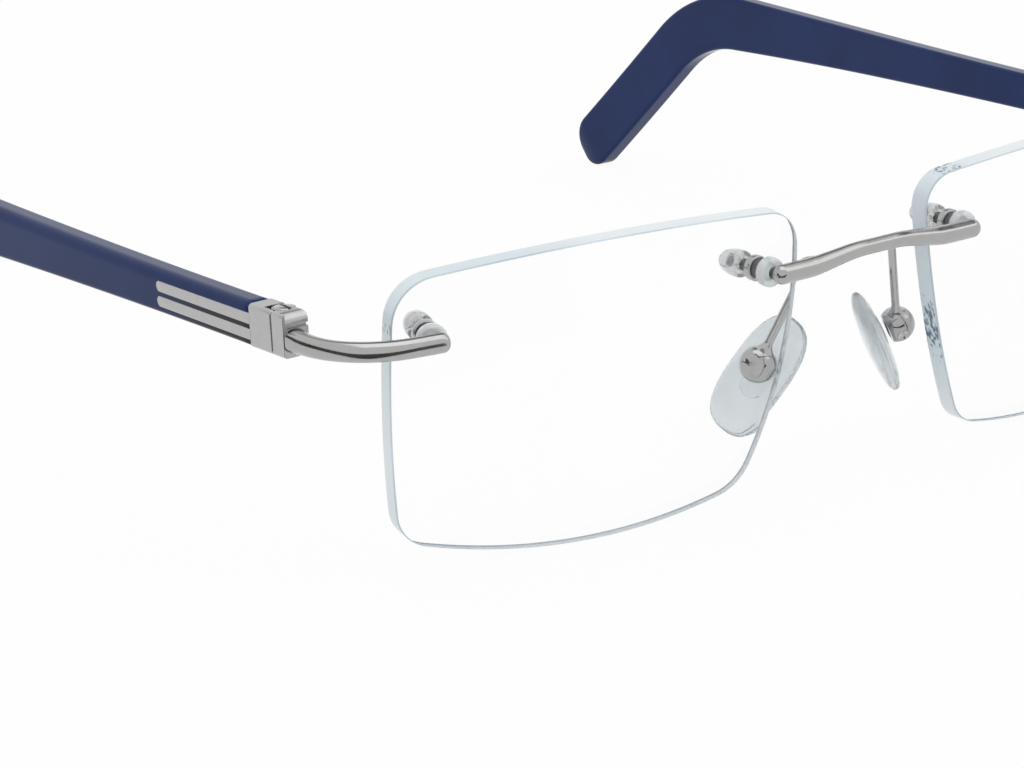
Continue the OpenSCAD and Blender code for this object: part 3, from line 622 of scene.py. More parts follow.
class Finish:
    """A node material with one Principled shader and Object coordinates."""

    def __init__(self, name, **sockets):
        self.material = bpy.data.materials.new(name)
        self.material.use_nodes = True
        self.nodes = self.material.node_tree.nodes
        self.links = self.material.node_tree.links
        self.shader = next(n for n in self.nodes if n.type == "BSDF_PRINCIPLED")
        for socket, value in sockets.items():
            self.shader.inputs[socket.replace("_", " ")].default_value = value
        self.place = self.nodes.new("ShaderNodeTexCoord").outputs["Object"]

    def noise(self, scale, detail=3.0, stretch=(1, 1, 1)):
        """Noise of a scale per metre, drawn out along an axis where stretch is below one."""
        mapping = self.nodes.new("ShaderNodeMapping")
        mapping.inputs["Scale"].default_value = stretch
        self.links.new(self.place, mapping.inputs["Vector"])
        texture = self.nodes.new("ShaderNodeTexNoise")
        texture.inputs["Scale"].default_value = scale
        texture.inputs["Detail"].default_value = detail
        self.links.new(mapping.outputs["Vector"], texture.inputs["Vector"])
        return texture.outputs["Fac"]

    def ramp(self, source, low, high, start=0.35, end=0.65):
        """Runs a source from one colour to another between two of its values."""
        ramp = self.nodes.new("ShaderNodeValToRGB")
        first, last = ramp.color_ramp.elements
        first.position, last.position = start, end
        first.color, last.color = (*low, 1), (*high, 1)
        self.links.new(source, ramp.inputs["Fac"])
        return ramp.outputs["Color"]

    def span(self, source, low, high, start=0.3, end=0.7):
        """Maps a source between two of its values to two numbers."""
        span = self.nodes.new("ShaderNodeMapRange")
        names = ("From Min", "From Max", "To Min", "To Max")
        for socket, value in zip(names, (start, end, low, high)):
            span.inputs[socket].default_value = value
        self.links.new(source, span.inputs["Value"])
        return span.outputs["Result"]

    def blend(self, share, source, rgb):
        """Runs from a source's colour to a plain colour by a share."""
        mix = self.nodes.new("ShaderNodeMix")
        mix.data_type = "RGBA"
        first, second = (s for s in mix.inputs if s.type == "RGBA")
        second.default_value = (*rgb, 1)
        self.links.new(share, mix.inputs["Factor"])
        self.links.new(source, first)
        return next(s for s in mix.outputs if s.type == "RGBA")

    def attribute(self, name):
        """The value stored on the mesh under a name."""
        node = self.nodes.new("ShaderNodeAttribute")
        node.attribute_name = name
        return node.outputs["Fac"]

    def product(self, first, second):
        """Two sources multiplied."""
        node = self.nodes.new("ShaderNodeMath")
        node.operation = "MULTIPLY"
        self.links.new(first, node.inputs[0])
        self.links.new(second, node.inputs[1])
        return node.outputs[0]

    def feed(self, source, socket):
        """Feeds a source into a socket of the shader."""
        self.links.new(source, self.shader.inputs[socket])

    def mottle(self, tints, grain, rough, rough_grain):
        """Varies the colour between two tints and the roughness between two values, by noise."""
        self.feed(self.ramp(self.noise(*grain), *tints), "Base Color")
        self.feed(self.span(self.noise(*rough_grain), *rough), "Roughness")
        return self

    def bump(self, source, strength, distance):
        """Bumps the surface by a source."""
        bump = self.nodes.new("ShaderNodeBump")
        bump.inputs["Strength"].default_value = strength
        bump.inputs["Distance"].default_value = distance
        self.links.new(source, bump.inputs["Height"])
        self.feed(bump.outputs["Normal"], "Normal")
        return self

    def show(self, share, shader):
        """Shows another shader in place of the Principled one by a share."""
        mix = self.nodes.new("ShaderNodeMixShader")
        out = next(n for n in self.nodes if n.type == "OUTPUT_MATERIAL")
        self.links.new(share, mix.inputs["Fac"])
        self.links.new(self.shader.outputs["BSDF"], mix.inputs[1])
        self.links.new(shader.outputs[0], mix.inputs[2])
        self.links.new(mix.outputs["Shader"], out.inputs["Surface"])
        return self.material

    def let_lamps_through(self, tint):
        """Lets light from lamps and sky pass, so that clear pieces cast no solid shadow."""
        path = self.nodes.new("ShaderNodeLightPath")
        clear = self.nodes.new("ShaderNodeBsdfTransparent")
        clear.inputs["Color"].default_value = (*tint, 1)
        return self.show(path.outputs["Is Shadow Ray"], clear)


def shades(rgb, *factors):
    """A colour times each of some factors."""
    return [tuple(min(c * factor, 1) for c in rgb) for factor in factors]


def metal_finish(name, rgb, rough):
    """Silver metal with faint polishing haze and fine lines along the rods."""
    made = Finish(name, Metallic=1.0)
    made.mottle(shades(rgb, 0.98, 1.02), (900, 4), (rough * 0.9, rough * 1.1), (2500, 3))
    return made.bump(made.noise(9000, 2, (0.05, 1, 1)), 0.02, 0.00001).material


def steel_finish():
    """Turned steel of the screws: fine rings and a slightly rougher face."""
    made = Finish("turned_steel", Metallic=1.0)
    made.mottle([(0.4, 0.4, 0.4), (0.5, 0.5, 0.49)], (1800, 4), (0.16, 0.3), (5000, 2))
    return made.bump(made.noise(14000, 2), 0.06, 0.00001).material


def lens_finish():
    """Clear polished lens with a weak reflection, as under a coating, and a trace of wiping haze."""
    made = Finish(
        "clear_lens", Transmission_Weight=1.0, IOR=1.5, Specular_Tint=(0.1, 0.12, 0.13, 1)
    )
    made.mottle(shades(sizes("finish").glass, 0.996, 1), (60, 2), (0.0, 0.006), (400, 4))
    return made.let_lamps_through((0.97, 0.98, 0.98))


def lens_edge_finish():
    """Ground rim of the lens: pale satin glass in cooler and warmer stretches, with painted dark
    reflections.
    """
    made = Finish("ground_lens_edge", Transmission_Weight=0.08, IOR=1.5)
    colours = sizes("finish")
    rim = made.ramp(made.noise(45, 1), colours.edge, colours.edge_cool, 0.4, 0.65)
    # Painted reflection: dark spots on the rim wherever its stored share of painted reflection is high.
    painted_reflection_spots = made.product(made.noise(2300, 3, (1, 1, 0.4)), made.attribute("glint"))
    shares = made.ramp(painted_reflection_spots, (0, 0, 0), (1, 1, 1), 0.42, 0.58)
    made.feed(made.blend(shares, rim, colours.painted_reflection), "Base Color")
    made.feed(made.span(made.noise(1500, 2), 0.3, 0.4), "Roughness")
    made.bump(made.noise(2500, 2), 0.03, 0.00002)
    return made.let_lamps_through((0.92, 0.94, 0.95))


def lens_bevel_finish():
    """Safety bevel of the lens: a narrow line of the rim's ground glass, coloured a darker grey-blue as
    painted shade.
    """
    made = Finish("lens_bevel", IOR=1.5)
    made.mottle(shades(sizes("finish").bevel, 0.9, 1.15), (60, 1), (0.25, 0.35), (1500, 2))
    return made.let_lamps_through((0.92, 0.94, 0.95))


def hole_finish():
    """Drilled wall of a lens hole: dull grey, with marks from the drill."""
    made = Finish("drilled_wall", IOR=1.5)
    made.mottle(shades(sizes("finish").hole, 0.85, 1.15), (1800, 2), (0.4, 0.5), (2500, 2))
    return made.let_lamps_through((0.8, 0.8, 0.8))


def clear_plastic_finish(name, tint, clear):
    """Clear moulded plastic of bushings and caps, the rest of it milky."""
    made = Finish(name, Transmission_Weight=clear, IOR=1.4)
    made.mottle(shades(tint, 0.97, 1), (900, 2), (0.04, 0.09), (2500, 3))
    made.bump(made.noise(3000, 2), 0.05, 0.00002)
    return made.let_lamps_through((0.9, 0.92, 0.93))


def silicone_finish():
    """Soft clear silicone: slightly milky, with a fine moulded skin."""
    made = Finish("clear_silicone", Transmission_Weight=0.84, IOR=1.41)
    made.mottle(shades(sizes("finish").silicone, 0.95, 1), (250, 3), (0.1, 0.16), (1500, 3))
    made.bump(made.noise(2200, 3), 0.012, 0.00003)
    return made.let_lamps_through((0.85, 0.88, 0.89))


def insert_finish():
    """Clear stiff core of a nose pad, with the index that it has against the silicone round it."""
    made = Finish("clear_pad_core", Transmission_Weight=1.0, IOR=1.05)
    made.mottle([(0.9, 0.92, 0.93), (0.95, 0.96, 0.97)], (900, 2), (0.02, 0.06), (2500, 3))
    return made.let_lamps_through((0.9, 0.92, 0.93))


def temple_finish():
    """Glossy navy plastic, darkened to charcoal under and between the bars as painted shade."""
    made = Finish("navy_temple", IOR=1.24)
    navy, dark = sizes("finish").navy, sizes("finish").bar_shade_tint
    body = made.ramp(made.noise(120, 3), *shades(navy, 0.9, 1.1))
    made.feed(made.blend(made.attribute("bar_field"), body, dark), "Base Color")
    made.feed(made.span(made.noise(700, 4), 0.07, 0.14), "Roughness")
    return made.bump(made.noise(500, 2), 0.012, 0.00004).material


FINISHES = {
    "polished": lambda: metal_finish("polished_silver", sizes("finish").metal, 0.15),
    # Painted shade: the pad boxes' silver is 8 % darker than the rods' and stands in for the darker
    # surroundings they reflect.
    "bright_shaded": lambda: metal_finish("bright_silver", shades(sizes("finish").metal, 0.92)[0], 0.08),
    "satin": lambda: metal_finish("satin_silver", sizes("finish").satin, 0.3),
    "thread": lambda: metal_finish("threaded_metal", sizes("finish").thread, 0.35),
    "steel": steel_finish,
    "lens": lens_finish,
    "edge": lens_edge_finish,
    "bevel": lens_bevel_finish,
    "hole": hole_finish,
    "cap": lambda: clear_plastic_finish("smoky_clear_plastic", sizes("finish").cap, 0.8),
    "bushing": lambda: clear_plastic_finish("milky_clear_plastic", sizes("finish").bushing, 0.4),
    "silicone": silicone_finish,
    "insert": insert_finish,
    "temple": temple_finish,
}
made_finishes = {}


def finish(name):
    """The material of that finish, made the first time it is asked for."""
    if name not in made_finishes:
        made_finishes[name] = FINISHES[name]()
    return made_finishes[name]


# Lenses


def circle_arc(centre, p, q, steps):
    """Points along a circle from p to q counter-clockwise, without the last one."""
    a = math.atan2(*(p - centre)[::-1])
    b = math.atan2(*(q - centre)[::-1])
    t = a + (b - a) % (2 * math.pi) * np.arange(steps) / steps
    return centre + np.linalg.norm(p - centre) * np.column_stack([np.cos(t), np.sin(t)])


def lens_halves(inset, corner_steps=14, edge_steps=26, split_steps=34):
    """Outline of the nasal and the temporal half of a lens, set in by a distance.

    Four crowned edges are arcs through the corners; each corner is an arc that touches both edges, so
    its centre lies inside both edge circles by the corner radius. A line at u = 0 parts the halves.
    """
    lens = sizes("lens")
    side = lens.width / 2 - lens.crown_temporal
    top = lens.height / 2 - lens.crown_top
    low = lens.crown_bottom - lens.height / 2
    corners = np.array([
        [lens.temporal_lean / 2 - side, low + lens.bottom_fall / 2],
        [lens.width / 2 - lens.nasal_inset, low - lens.bottom_fall / 2],
        [lens.width / 2, top + lens.top_rise / 2],
        [-side - lens.temporal_lean / 2, top - lens.top_rise / 2],
    ])
    crowns = np.array([lens.crown_bottom, lens.crown_nasal, lens.crown_top, lens.crown_temporal])
    radii = np.array([lens.corner_bt, lens.corner_bn, lens.corner_tn, lens.corner_tt])
    following = np.roll(corners, -1, axis=0)
    half = np.linalg.norm(following - corners, axis=1) / 2
    edge_r = (half**2 + crowns**2) / (2 * crowns)
    d = unit(following - corners)
    inward = np.column_stack([-d[:, 1], d[:, 0]])
    edge_c = (corners + following) / 2 + inward * (edge_r - crowns)[:, None]
    c1, r1 = np.roll(edge_c, 1, axis=0), np.roll(edge_r, 1) - radii
    r2 = edge_r - radii
    span = np.linalg.norm(edge_c - c1, axis=1)
    e = unit(edge_c - c1)
    along = (r1**2 - r2**2 + span**2) / (2 * span)
    off = np.sqrt(r1**2 - along**2)[:, None] * np.column_stack([-e[:, 1], e[:, 0]])
    foot = c1 + e * along[:, None]
    one, other = (np.linalg.norm(c - corners, axis=1) for c in (foot + off, foot - off))
    corner_c = np.where((one < other)[:, None], foot + off, foot - off)
    edge_r, radii = edge_r - inset, radii - inset
    into = np.roll(edge_c, 1, axis=0) + unit(corner_c - c1) * np.roll(edge_r, 1)[:, None]
    out = edge_c + unit(corner_c - edge_c) * edge_r[:, None]
    drop = math.sqrt(edge_r[0] ** 2 - edge_c[0, 0] ** 2)
    lift = math.sqrt(edge_r[2] ** 2 - edge_c[2, 0] ** 2)
    low_mid, top_mid = np.array([0, edge_c[0, 1] - drop]), np.array([0, edge_c[2, 1] + lift])

    def rim(first, second, start, end):
        """From the middle of one long edge round two corners to the middle of the other."""
        return np.concatenate([
            circle_arc(edge_c[first - 1], start, into[first], edge_steps),
            circle_arc(corner_c[first], into[first], out[first], corner_steps),
            circle_arc(edge_c[first], out[first], into[second], edge_steps),
            circle_arc(corner_c[second], into[second], out[second], corner_steps),
            circle_arc(edge_c[second], out[second], end, edge_steps),
        ])

    t = (np.arange(split_steps) / split_steps)[:, None]
    return {
        "nasal": (rim(1, 2, low_mid, top_mid), top_mid + (low_mid - top_mid) * t),
        "temporal": (rim(3, 0, top_mid, low_mid), low_mid + (top_mid - low_mid) * t),
    }


def shell_depth(uv, radius):
    """Depth behind the lens's front pole of a sphere about the lens's centre of curvature."""
    return sizes("lens").base_r - np.sqrt(radius**2 - (uv**2).sum(axis=-1))


def on_shell(uv, radius):
    """Places (u, v) on a spherical surface of the lens, as points in lens axes."""
    return np.stack([uv[..., 0], shell_depth(uv, radius), uv[..., 1]], axis=-1)


def hole_ring(spot, toward, back):
    """The rim of a hole on the front or back surface, in the directions of some points (u, v)."""
    lens, mount = sizes("lens"), sizes("mount")
    origin, across, up, out = hole_axes(spot)
    centre = origin - out * (lens.thickness if back else 0)
    a = np.arctan2(toward[:, 1] - centre[2], toward[:, 0] - centre[0])[:, None]
    rim = centre + (across * np.cos(a) + up * np.sin(a)) * mount.hole_d / 2
    return rim[:, [0, 2]]


def lens_mesh(name, side, rings=26, crowd=1.3, rim_rows=4):
    """A drilled lens: two spherical surfaces, a ground rim with safety bevels and two hole walls.

    Each surface is two grids, one round each hole: straight lines run from the hole's rim to the
    outline of that half, and the points along them are lifted onto the sphere. crowd is the power
    that draws the rings in towards the hole.
    """
    lens = sizes("lens")
    front_r, back_r = lens.base_r, lens.base_r - lens.thickness
    inner, outer = lens_halves(lens.bevel), lens_halves(0)
    shell = Shell()
    t = (np.linspace(0, 1, rings) ** crowd)[:, None, None]
    for spot, (rim, split) in inner.items():
        border = np.concatenate([rim, split])
        walls = []
        for radius, back in ((front_r, False), (back_r, True)):
            start = hole_ring(spot, border, back)
            shell.grid(on_shell(start + (border - start) * t, radius))
            walls.append(on_shell(start, radius))
        shell.grid(np.array(walls), slot=3)
    bevelled = np.concatenate([inner["nasal"][0], inner["temporal"][0]])
    full = np.concatenate([outer["nasal"][0], outer["temporal"][0]])
    step = np.array([0, lens.bevel, 0])
    front, back = on_shell(full, front_r) + step, on_shell(full, back_r) - step
    across = np.linspace(0, 1, rim_rows)[:, None, None]
    shell.grid(np.array([on_shell(bevelled, front_r), front]), slot=2)
    shell.grid(front + (back - front) * across, slot=1)
    shell.grid(np.array([back, on_shell(bevelled, back_r)]), slot=2)
    return shell.placed(lambda p: stood(lens_to_front(p))).mesh(name, side)


# Where a lens's rim gets painted dark reflections, in half lens heights from its middle: place and
# width of each bell curve across u and v, or the u at which it is cut off.
EDGE_GLINT_V, EDGE_GLINT_FROM = (-0.12, 0.4), 0.5
CORNER_GLINT_U, CORNER_GLINT_V, CORNER_GLINT = (1.2, 0.25), (0.95, 0.12), 0.92
MOUNT_GLINT_V, MOUNT_GLINT_TO = (0.06, 0.06), -1


def bell(t, middle, width):
    """A bell curve of height one."""
    return np.exp(-(((t - middle) / width) ** 2))


def paint_glints(mesh, side):
    """Stores on each vertex how much painted dark reflection a lens's rim gets, where pad, arm and rod
    would show inside it.

    Bell curves: along the nasal edge, over the temporal hole and, on the left lens, round the upper
    nasal corner.
    """
    half = sizes("lens").height / 2
    hole = hole_place("temporal")[1] / half
    middle = stood(lens_to_front(np.zeros(3)))
    u, _, v = ((mesh_points(mesh, side) - middle) @ lens_turn()).T / half
    edge = bell(v, *EDGE_GLINT_V) * (u > EDGE_GLINT_FROM)
    corner = CORNER_GLINT * bell(u, *CORNER_GLINT_U) * bell(v, *CORNER_GLINT_V) * (side == "left")
    mount = bell(v - hole, *MOUNT_GLINT_V) * (u < MOUNT_GLINT_TO)
    store(mesh, "glint", np.maximum(np.maximum(edge, corner), mount))


class GLASSES_OT_lenses(bpy.types.Operator):
    """Adds the two drilled lenses"""

    bl_idname = "glasses.lenses"
    bl_label = "Lenses"

    def execute(self, context):
        for side in SIDES:
            mesh = lens_mesh(side + "_lens_glass", side)
            paint_glints(mesh, side)
            looks = ("lens", "edge", "bevel", "hole")
            place_piece(mesh, looks, "front", side + "_lens")
        return {"FINISHED"}


# Lens mounts


def mount_levels():
    """Heights along a post, from the lens front outwards: nut, cap and post end."""
    lens, mount = sizes("lens"), sizes("mount")
    nut = -lens.thickness - mount.gap
    cap = nut - mount.nut_t - mount.bare
    return nut, cap, cap - mount.cap_grip


def bushing_profile():
    """Closed profile of the flanged bushing: bore, rounded flange and the sleeve through the lens."""
    lens, mount = sizes("lens"), sizes("mount")
    bore = mount.post_d / 2 + mount.gap
    sleeve = mount.hole_d / 2 - mount.gap
    r, e, top = mount.bushing_d / 2, mount.edge, mount.gap + mount.bushing_t
    return [
        (bore, top),
        *round_corner((r - 2 * e, top - 2 * e), 2 * e, 90, 0),
        *round_corner((r - e, mount.gap + e), e, 0, -90),
        (sleeve, mount.gap),
        (sleeve, -lens.thickness),
        (bore, -lens.thickness),
    ]


def nut_profile():
    """Closed profile of the round nut with rounded rims and a countersunk bore."""
    mount = sizes("mount")
    top = mount_levels()[0]
    low, r, e = top - mount.nut_t, mount.nut_d / 2, mount.edge
    bore = mount.post_d / 2 + mount.gap
    return [
        (bore, top),
        *round_corner((r - e, top - e), e, 90, 0),
        *round_corner((r - e, low + e), e, 0, -90),
        (bore + e, low),
        (bore, low + e),
    ]


def cap_profile(steps=20, skirt=1 / 3, power=0.8):
    """Profile of the bullet cap: a bore for the post, a rounded skirt and a nose to a blunt point.

    The radius falls from the shoulder to the tip by a power of a cosine. skirt is the share of the
    length up to the shoulder.
    """
    mount = sizes("mount")
    rim = mount_levels()[1]
    start = rim - mount.cap_open
    r, e = mount.cap_d / 2, 2.5 * mount.edge
    bore = mount.post_d / 2 + mount.gap
    shoulder = rim - mount.cap_l * skirt
    deep = rim - mount.cap_grip - mount.gap
    a = np.linspace(0, np.pi / 2, steps + 1)
    fall = r * np.cos(a) ** power
    along = shoulder - mount.cap_l * (1 - skirt) * np.sin(a)
    return [
        (0, deep),
        (bore, deep),
        (bore, start),
        *round_corner((r - e, start - e), e, 90, 0),
        *zip(fall, along),
    ]


def post_grid(spot, sides=28, per_turn=8):
    """Grid of a threaded post at a hole, in glasses axes.

    The radius falls by a rounded groove that climbs by one pitch in each turn.
    """
    mount = sizes("mount")
    low, top = mount_levels()[2], rod_off(spot)
    z = np.linspace(low, top, int((top - low) / mount.pitch * per_turn))[:, None]
    a = np.linspace(0, 2 * np.pi, sides, endpoint=False)[None]
    groove = 0.5 - 0.5 * np.cos(2 * np.pi * z / mount.pitch - a)
    fade = np.clip((z - low) / mount.pitch, 0, 1)
    r = mount.post_d / 2 - mount.thread * (groove * fade + 1 - fade)
    points = np.stack([r * np.cos(a), r * np.sin(a), np.broadcast_to(z, r.shape)], axis=-1)
    return from_hole(points, spot)


class GLASSES_OT_mounts(bpy.types.Operator):
    """Adds the bushing, nut and cap of each lens mount"""

    bl_idname = "glasses.mounts"
    bl_label = "Lens mounts"

    def execute(self, context):
        kinds = {
            "bushing": (bushing_profile(), True, "bushing", "clear_plastic"),
            "nut": (nut_profile(), True, "polished", "polished_metal"),
            "cap": (cap_profile(), False, "cap", "clear_plastic"),
        }
        for spot in ("nasal", "temporal"):
            for kind, (profile, bored, look, slot) in kinds.items():
                for side in SIDES:
                    node = f"{side}_{spot}_{kind}"
                    shell = Shell().grid(lathe(profile), loop=bored)
                    shell.placed(lambda p: stood(from_hole(p, spot)))
                    place_piece(shell.mesh(node + "_turned", side), [look], "front", node)
        return {"FINISHED"}


# Bridge and end pieces


def bridge_line():
    """Centre line of the bridge in glasses axes, its directions and the foot of its arch.

    It runs straight over each lens and rises through two soft bends to a level middle.
    """
    rod = sizes("rod")
    at = post_foot("nasal")
    foot = -at[0] - rod.straight
    half = [(-at[0] + rod.bridge_over, 0), (foot, 0), (rod.flat / 2, rod.rise)]
    line = [(-x, z) for x, z in half] + half[::-1]
    corners = [(x, at[1], at[2] + z) for x, z in line]
    return *bent_path(corners, rod.bridge_bend, math.radians(0.6)), foot


def bridge_shell():
    """The bridge: a rod along a low arch whose radius grows from its waist with the square of x."""
    rod = sizes("rod")
    points, ways, foot = bridge_line()
    t = np.minimum(np.abs(points[:, 0]) / foot, 1)
    radii = (rod.waist_d + (rod.bridge_d - rod.waist_d) * t**2) / 2
    for first in (True, False):
        points, ways, radii = rounded_end(points, ways, radii, first, rod.bridge_end_r)
    shell = Shell().tube(swept_rod(points, ways, radii, Y_AXIS))
    for side in SIDES:
        shell.tube(mirrored(post_grid("nasal"), side), slot=1)
    return shell.placed(stood)


class GLASSES_OT_bridge(bpy.types.Operator):
    """Adds the bridge rod with its two posts"""

    bl_idname = "glasses.bridge"
    bl_label = "Bridge"

    def execute(self, context):
        mesh = bridge_shell().mesh("bridge_rod", sharp=ROD_SHARP)
        place_piece(mesh, ("polished", "thread"), "front", "bridge")
        return {"FINISHED"}


def wire_line():
    """Centre line of the end-piece wire, its directions and its root inside the hinge block.

    It runs level over the lens and takes one bend round to the block.
    """
    rod, hinge = sizes("rod"), sizes("hinge")
    at = stood(post_foot("temporal"))
    way = np.array([-math.cos(rod.wire_yaw), math.sin(rod.wire_yaw), 0])
    web = hinge.front - hinge.inner - hinge.gap
    inside = np.array([(hinge.inner - hinge.outer) / 2, web / 2 - hinge.front, -rod.hinge_lift])
    root = from_hinge(inside)
    along = turn(2, sizes("temple").splay) @ Y_AXIS
    across = way[0] * along[1] - way[1] * along[0]
    run = ((root - at)[0] * along[1] - (root - at)[1] * along[0]) / across
    corners = [at - way * rod.wire_over, at + way * run, root]
    return *bent_path(corners, rod.wire_bend, math.radians(2)), root


def wire_shell():
    """The end-piece wire, from its rounded end to its root.

    Towards its root it thickens with the square of the way, upwards and out to the block's outer
    face, and its section turns from a circle to a rounded square.
    """
    rod, hinge = sizes("rod"), sizes("hinge")
    points, ways, root = wire_line()
    left = np.linalg.norm(points - root, axis=1)
    swell = np.clip(1 - left / rod.root_run, 0, 1)[:, None] ** 2
    more = (rod.root_d - rod.wire_d) / 2
    flush = np.array([rod.root_d / 2 + rod.root_in - (hinge.outer + hinge.inner) / 2, 0, more])
    points = points + swell * (turn(2, sizes("temple").splay) @ flush)
    radii = rod.wire_d / 2 + more * swell[:, 0]
    square = 2 + ROOT_SQUARE * np.clip(1 - left / rod.square_run, 0, 1)
    points, ways, radii = rounded_end(points, ways, radii, True, rod.end_r)
    square = np.concatenate([np.full(len(points) - len(square), 2.0), square])
    return Shell().tube(swept_rod(points, ways, radii, Z_AXIS, square=square))


def block_grid(y0, y1, lip=0.5, corner_steps=8, end_steps=6):
    """Rings along Y of a hinge block: a rounded rectangle that draws in at both ends.

    The section is a rectangle with quarter-circle corners; near an end its sides move in by what a
    circle leaves. lip is that circle's radius at the front end, as a share of the edge radius.
    """
    hinge = sizes("hinge")
    r = hinge.edge_r
    swing = np.linspace(0, np.pi / 2, end_steps + 1)
    front, back = lip * r, r / 2
    y = np.concatenate([y0 + front * (1 - np.cos(swing)), y1 - back * (1 - np.cos(swing[::-1]))])
    inset = np.concatenate([front * (1 - np.sin(swing)), back * (1 - np.sin(swing[::-1]))])
    half = np.array([(hinge.outer + hinge.inner) / 2, hinge.height / 2])
    a = np.linspace(0, np.pi / 2, corner_steps + 1)
    turns = (np.arange(4)[:, None] * np.pi / 2 + a).ravel()
    signs = np.repeat([[1, 1], [-1, 1], [-1, -1], [1, -1]], corner_steps + 1, axis=0)
    spoke = np.column_stack([np.cos(turns), np.sin(turns)]) * r
    flat = signs[None] * (half - r - inset[:, None])[:, None] + spoke[None]
    x = flat[..., 0] + (hinge.inner - hinge.outer) / 2
    return np.stack([x, np.broadcast_to(y[:, None], x.shape), flat[..., 1]], axis=-1)


def front_block_mesh():
    """Front block: outer knuckles round the screw, a slot for the middle one and the screw's seat.

    Inside an outer wall its upper front edge is a rounded brow, and a groove parts it from the wire.
    """
    hinge, mount = sizes("hinge"), sizes("mount")
    recess, slot = hinge.inner + hinge.gap, hinge.tongue / 2 + hinge.gap
    top, far = hinge.height / 2, 4 * hinge.front
    y, z = hinge.brow_r - hinge.front, top - hinge.brow_r
    brow = round_corner((y, z), hinge.brow_r, 180, 90, 10)
    outline = np.array([(-far, z), *brow, (y, far), (-far, far)])
    under, inside = top - hinge.brow_h, hinge.wall - hinge.outer
    block = block_grid(-hinge.front, -hinge.parting - hinge.gap, lip=0.1)
    return carved(Shell().tube(block).mesh("block"), [
        ("DIFFERENCE", prism_mesh(outline, inside, far)),
        ("DIFFERENCE", box_mesh(
            (inside, -far, under - hinge.groove), (far, hinge.groove_t - hinge.front, under)
        )),
        ("UNION", pin_mesh(hinge.inner, -top, top)),
        ("DIFFERENCE", box_mesh((-recess, -recess, -slot), (far, far, slot))),
        ("DIFFERENCE", pin_mesh(hinge.screw_d / 2 + mount.gap, -far, far)),
        ("DIFFERENCE", pin_mesh(hinge.head_d / 2 + mount.gap, top - hinge.head_h - mount.gap, far)),
    ])


def screw_mesh(steps=8):
    """Hinge screw: a domed head on a plain shank, turned about Z, with a slot across the head."""
    hinge = sizes("hinge")
    r, top, far = hinge.head_d / 2, hinge.height / 2, hinge.height
    a = np.linspace(0, np.pi / 2, steps + 1)
    dome = zip(r * np.cos(a), top + hinge.dome * np.sin(a))
    shank = [(0, -top), (hinge.screw_d / 2, -top), (hinge.screw_d / 2, top - hinge.head_h)]
    turned = Shell().grid(lathe([*shank, (r, top - hinge.head_h), *dome])).mesh("screw")
    half, deep = hinge.cut_w / 2, top + hinge.dome - hinge.cut_t
    return carved(turned, [("DIFFERENCE", box_mesh((-half, -far, deep), (half, far, far)))])


def bar_shell(level, steps=17):
    """A bar on the temple's outer face: a flat strip with a round rear end and softened rims."""
    hinge, temple = sizes("hinge"), sizes("temple")
    outer = -hinge.outer - temple.bar_over
    half, ease, deep = temple.bar_h / 2, temple.bar_ease, temple.bar_t + temple.bar_proud
    start, stop = hinge.back - hinge.edge_r / 2, hinge.back + temple.bar_l - half
    a = np.linspace(-np.pi / 2, np.pi / 2, steps)
    along = np.concatenate([[start], np.full(steps, stop), [start]])
    bulge, rise = np.concatenate([[0], np.cos(a), [0]]), np.concatenate([[-1], np.sin(a), [1]])
    inset, depth = np.array([(ease, 0), (ease * 0.3, ease * 0.3), (0, ease), (0, deep)]).T[..., None]
    y, z = along + bulge * (half - inset), level + rise * (half - inset)
    return Shell().tube(np.stack([np.broadcast_to(outer + depth, y.shape), y, z], axis=-1))


def temple_middle():
    """X of the middle of the temple, in hinge axes."""
    temple = sizes("temple")
    return temple.thickness / 2 - sizes("hinge").outer + temple.bar_proud / 2


def temple_block_mesh():
    """Temple block: a cheek over the knuckles, the middle knuckle on its tongue and two bars."""
    hinge, temple = sizes("hinge"), sizes("temple")
    recess = hinge.inner + hinge.gap
    behind, far = recess + hinge.fold_gap, 2 * hinge.height
    half = hinge.tongue / 2
    bars = [side * (temple.bar_gap + temple.bar_h) / 2 - temple.bar_drop for side in (-1, 1)]
    return carved(Shell().tube(block_grid(-hinge.parting, hinge.back)).mesh("block"), [
        ("DIFFERENCE", box_mesh((-recess, -far, -far), (far, behind, far))),
        ("UNION", pin_mesh(hinge.inner, -half, half, behind)),
        ("DIFFERENCE", pin_mesh(hinge.screw_d / 2 + hinge.run_fit, -far, far)),
        *[("UNION", bar_shell(level).mesh("bar")) for level in bars],
    ])


def level_faces(piece):
    """Shades the broad flat faces of a hinge piece level, so that only its edges round off."""
    piece.modifiers.new("level_faces", "WEIGHTED_NORMAL").keep_sharp = True


class GLASSES_OT_end_pieces(bpy.types.Operator):
    """Adds the two end pieces: bent wire, post and front hinge block with its screw"""

    bl_idname = "glasses.end_pieces"
    bl_label = "End pieces"

    def execute(self, context):
        for side in SIDES:
            wire = wire_shell().mesh("wire", side, ROD_SHARP)
            block = moved(front_block_mesh(), from_hinge, side)
            post = Shell().tube(stood(post_grid("temporal"))).mesh("post", side, ROD_SHARP)
            mesh = joined(side + "_end_piece_wire", [wire, block, post])
            looks, node = ("polished", "satin", "thread"), side + "_end_piece"
            level_faces(place_piece(mesh, looks, "front", node))
            screw = moved(screw_mesh(), from_hinge, side)
            screw = joined(side + "_hinge_screw_turned", [screw])
            place_piece(screw, ["steel"], "front", side + "_hinge_screw")
        return {"FINISHED"}


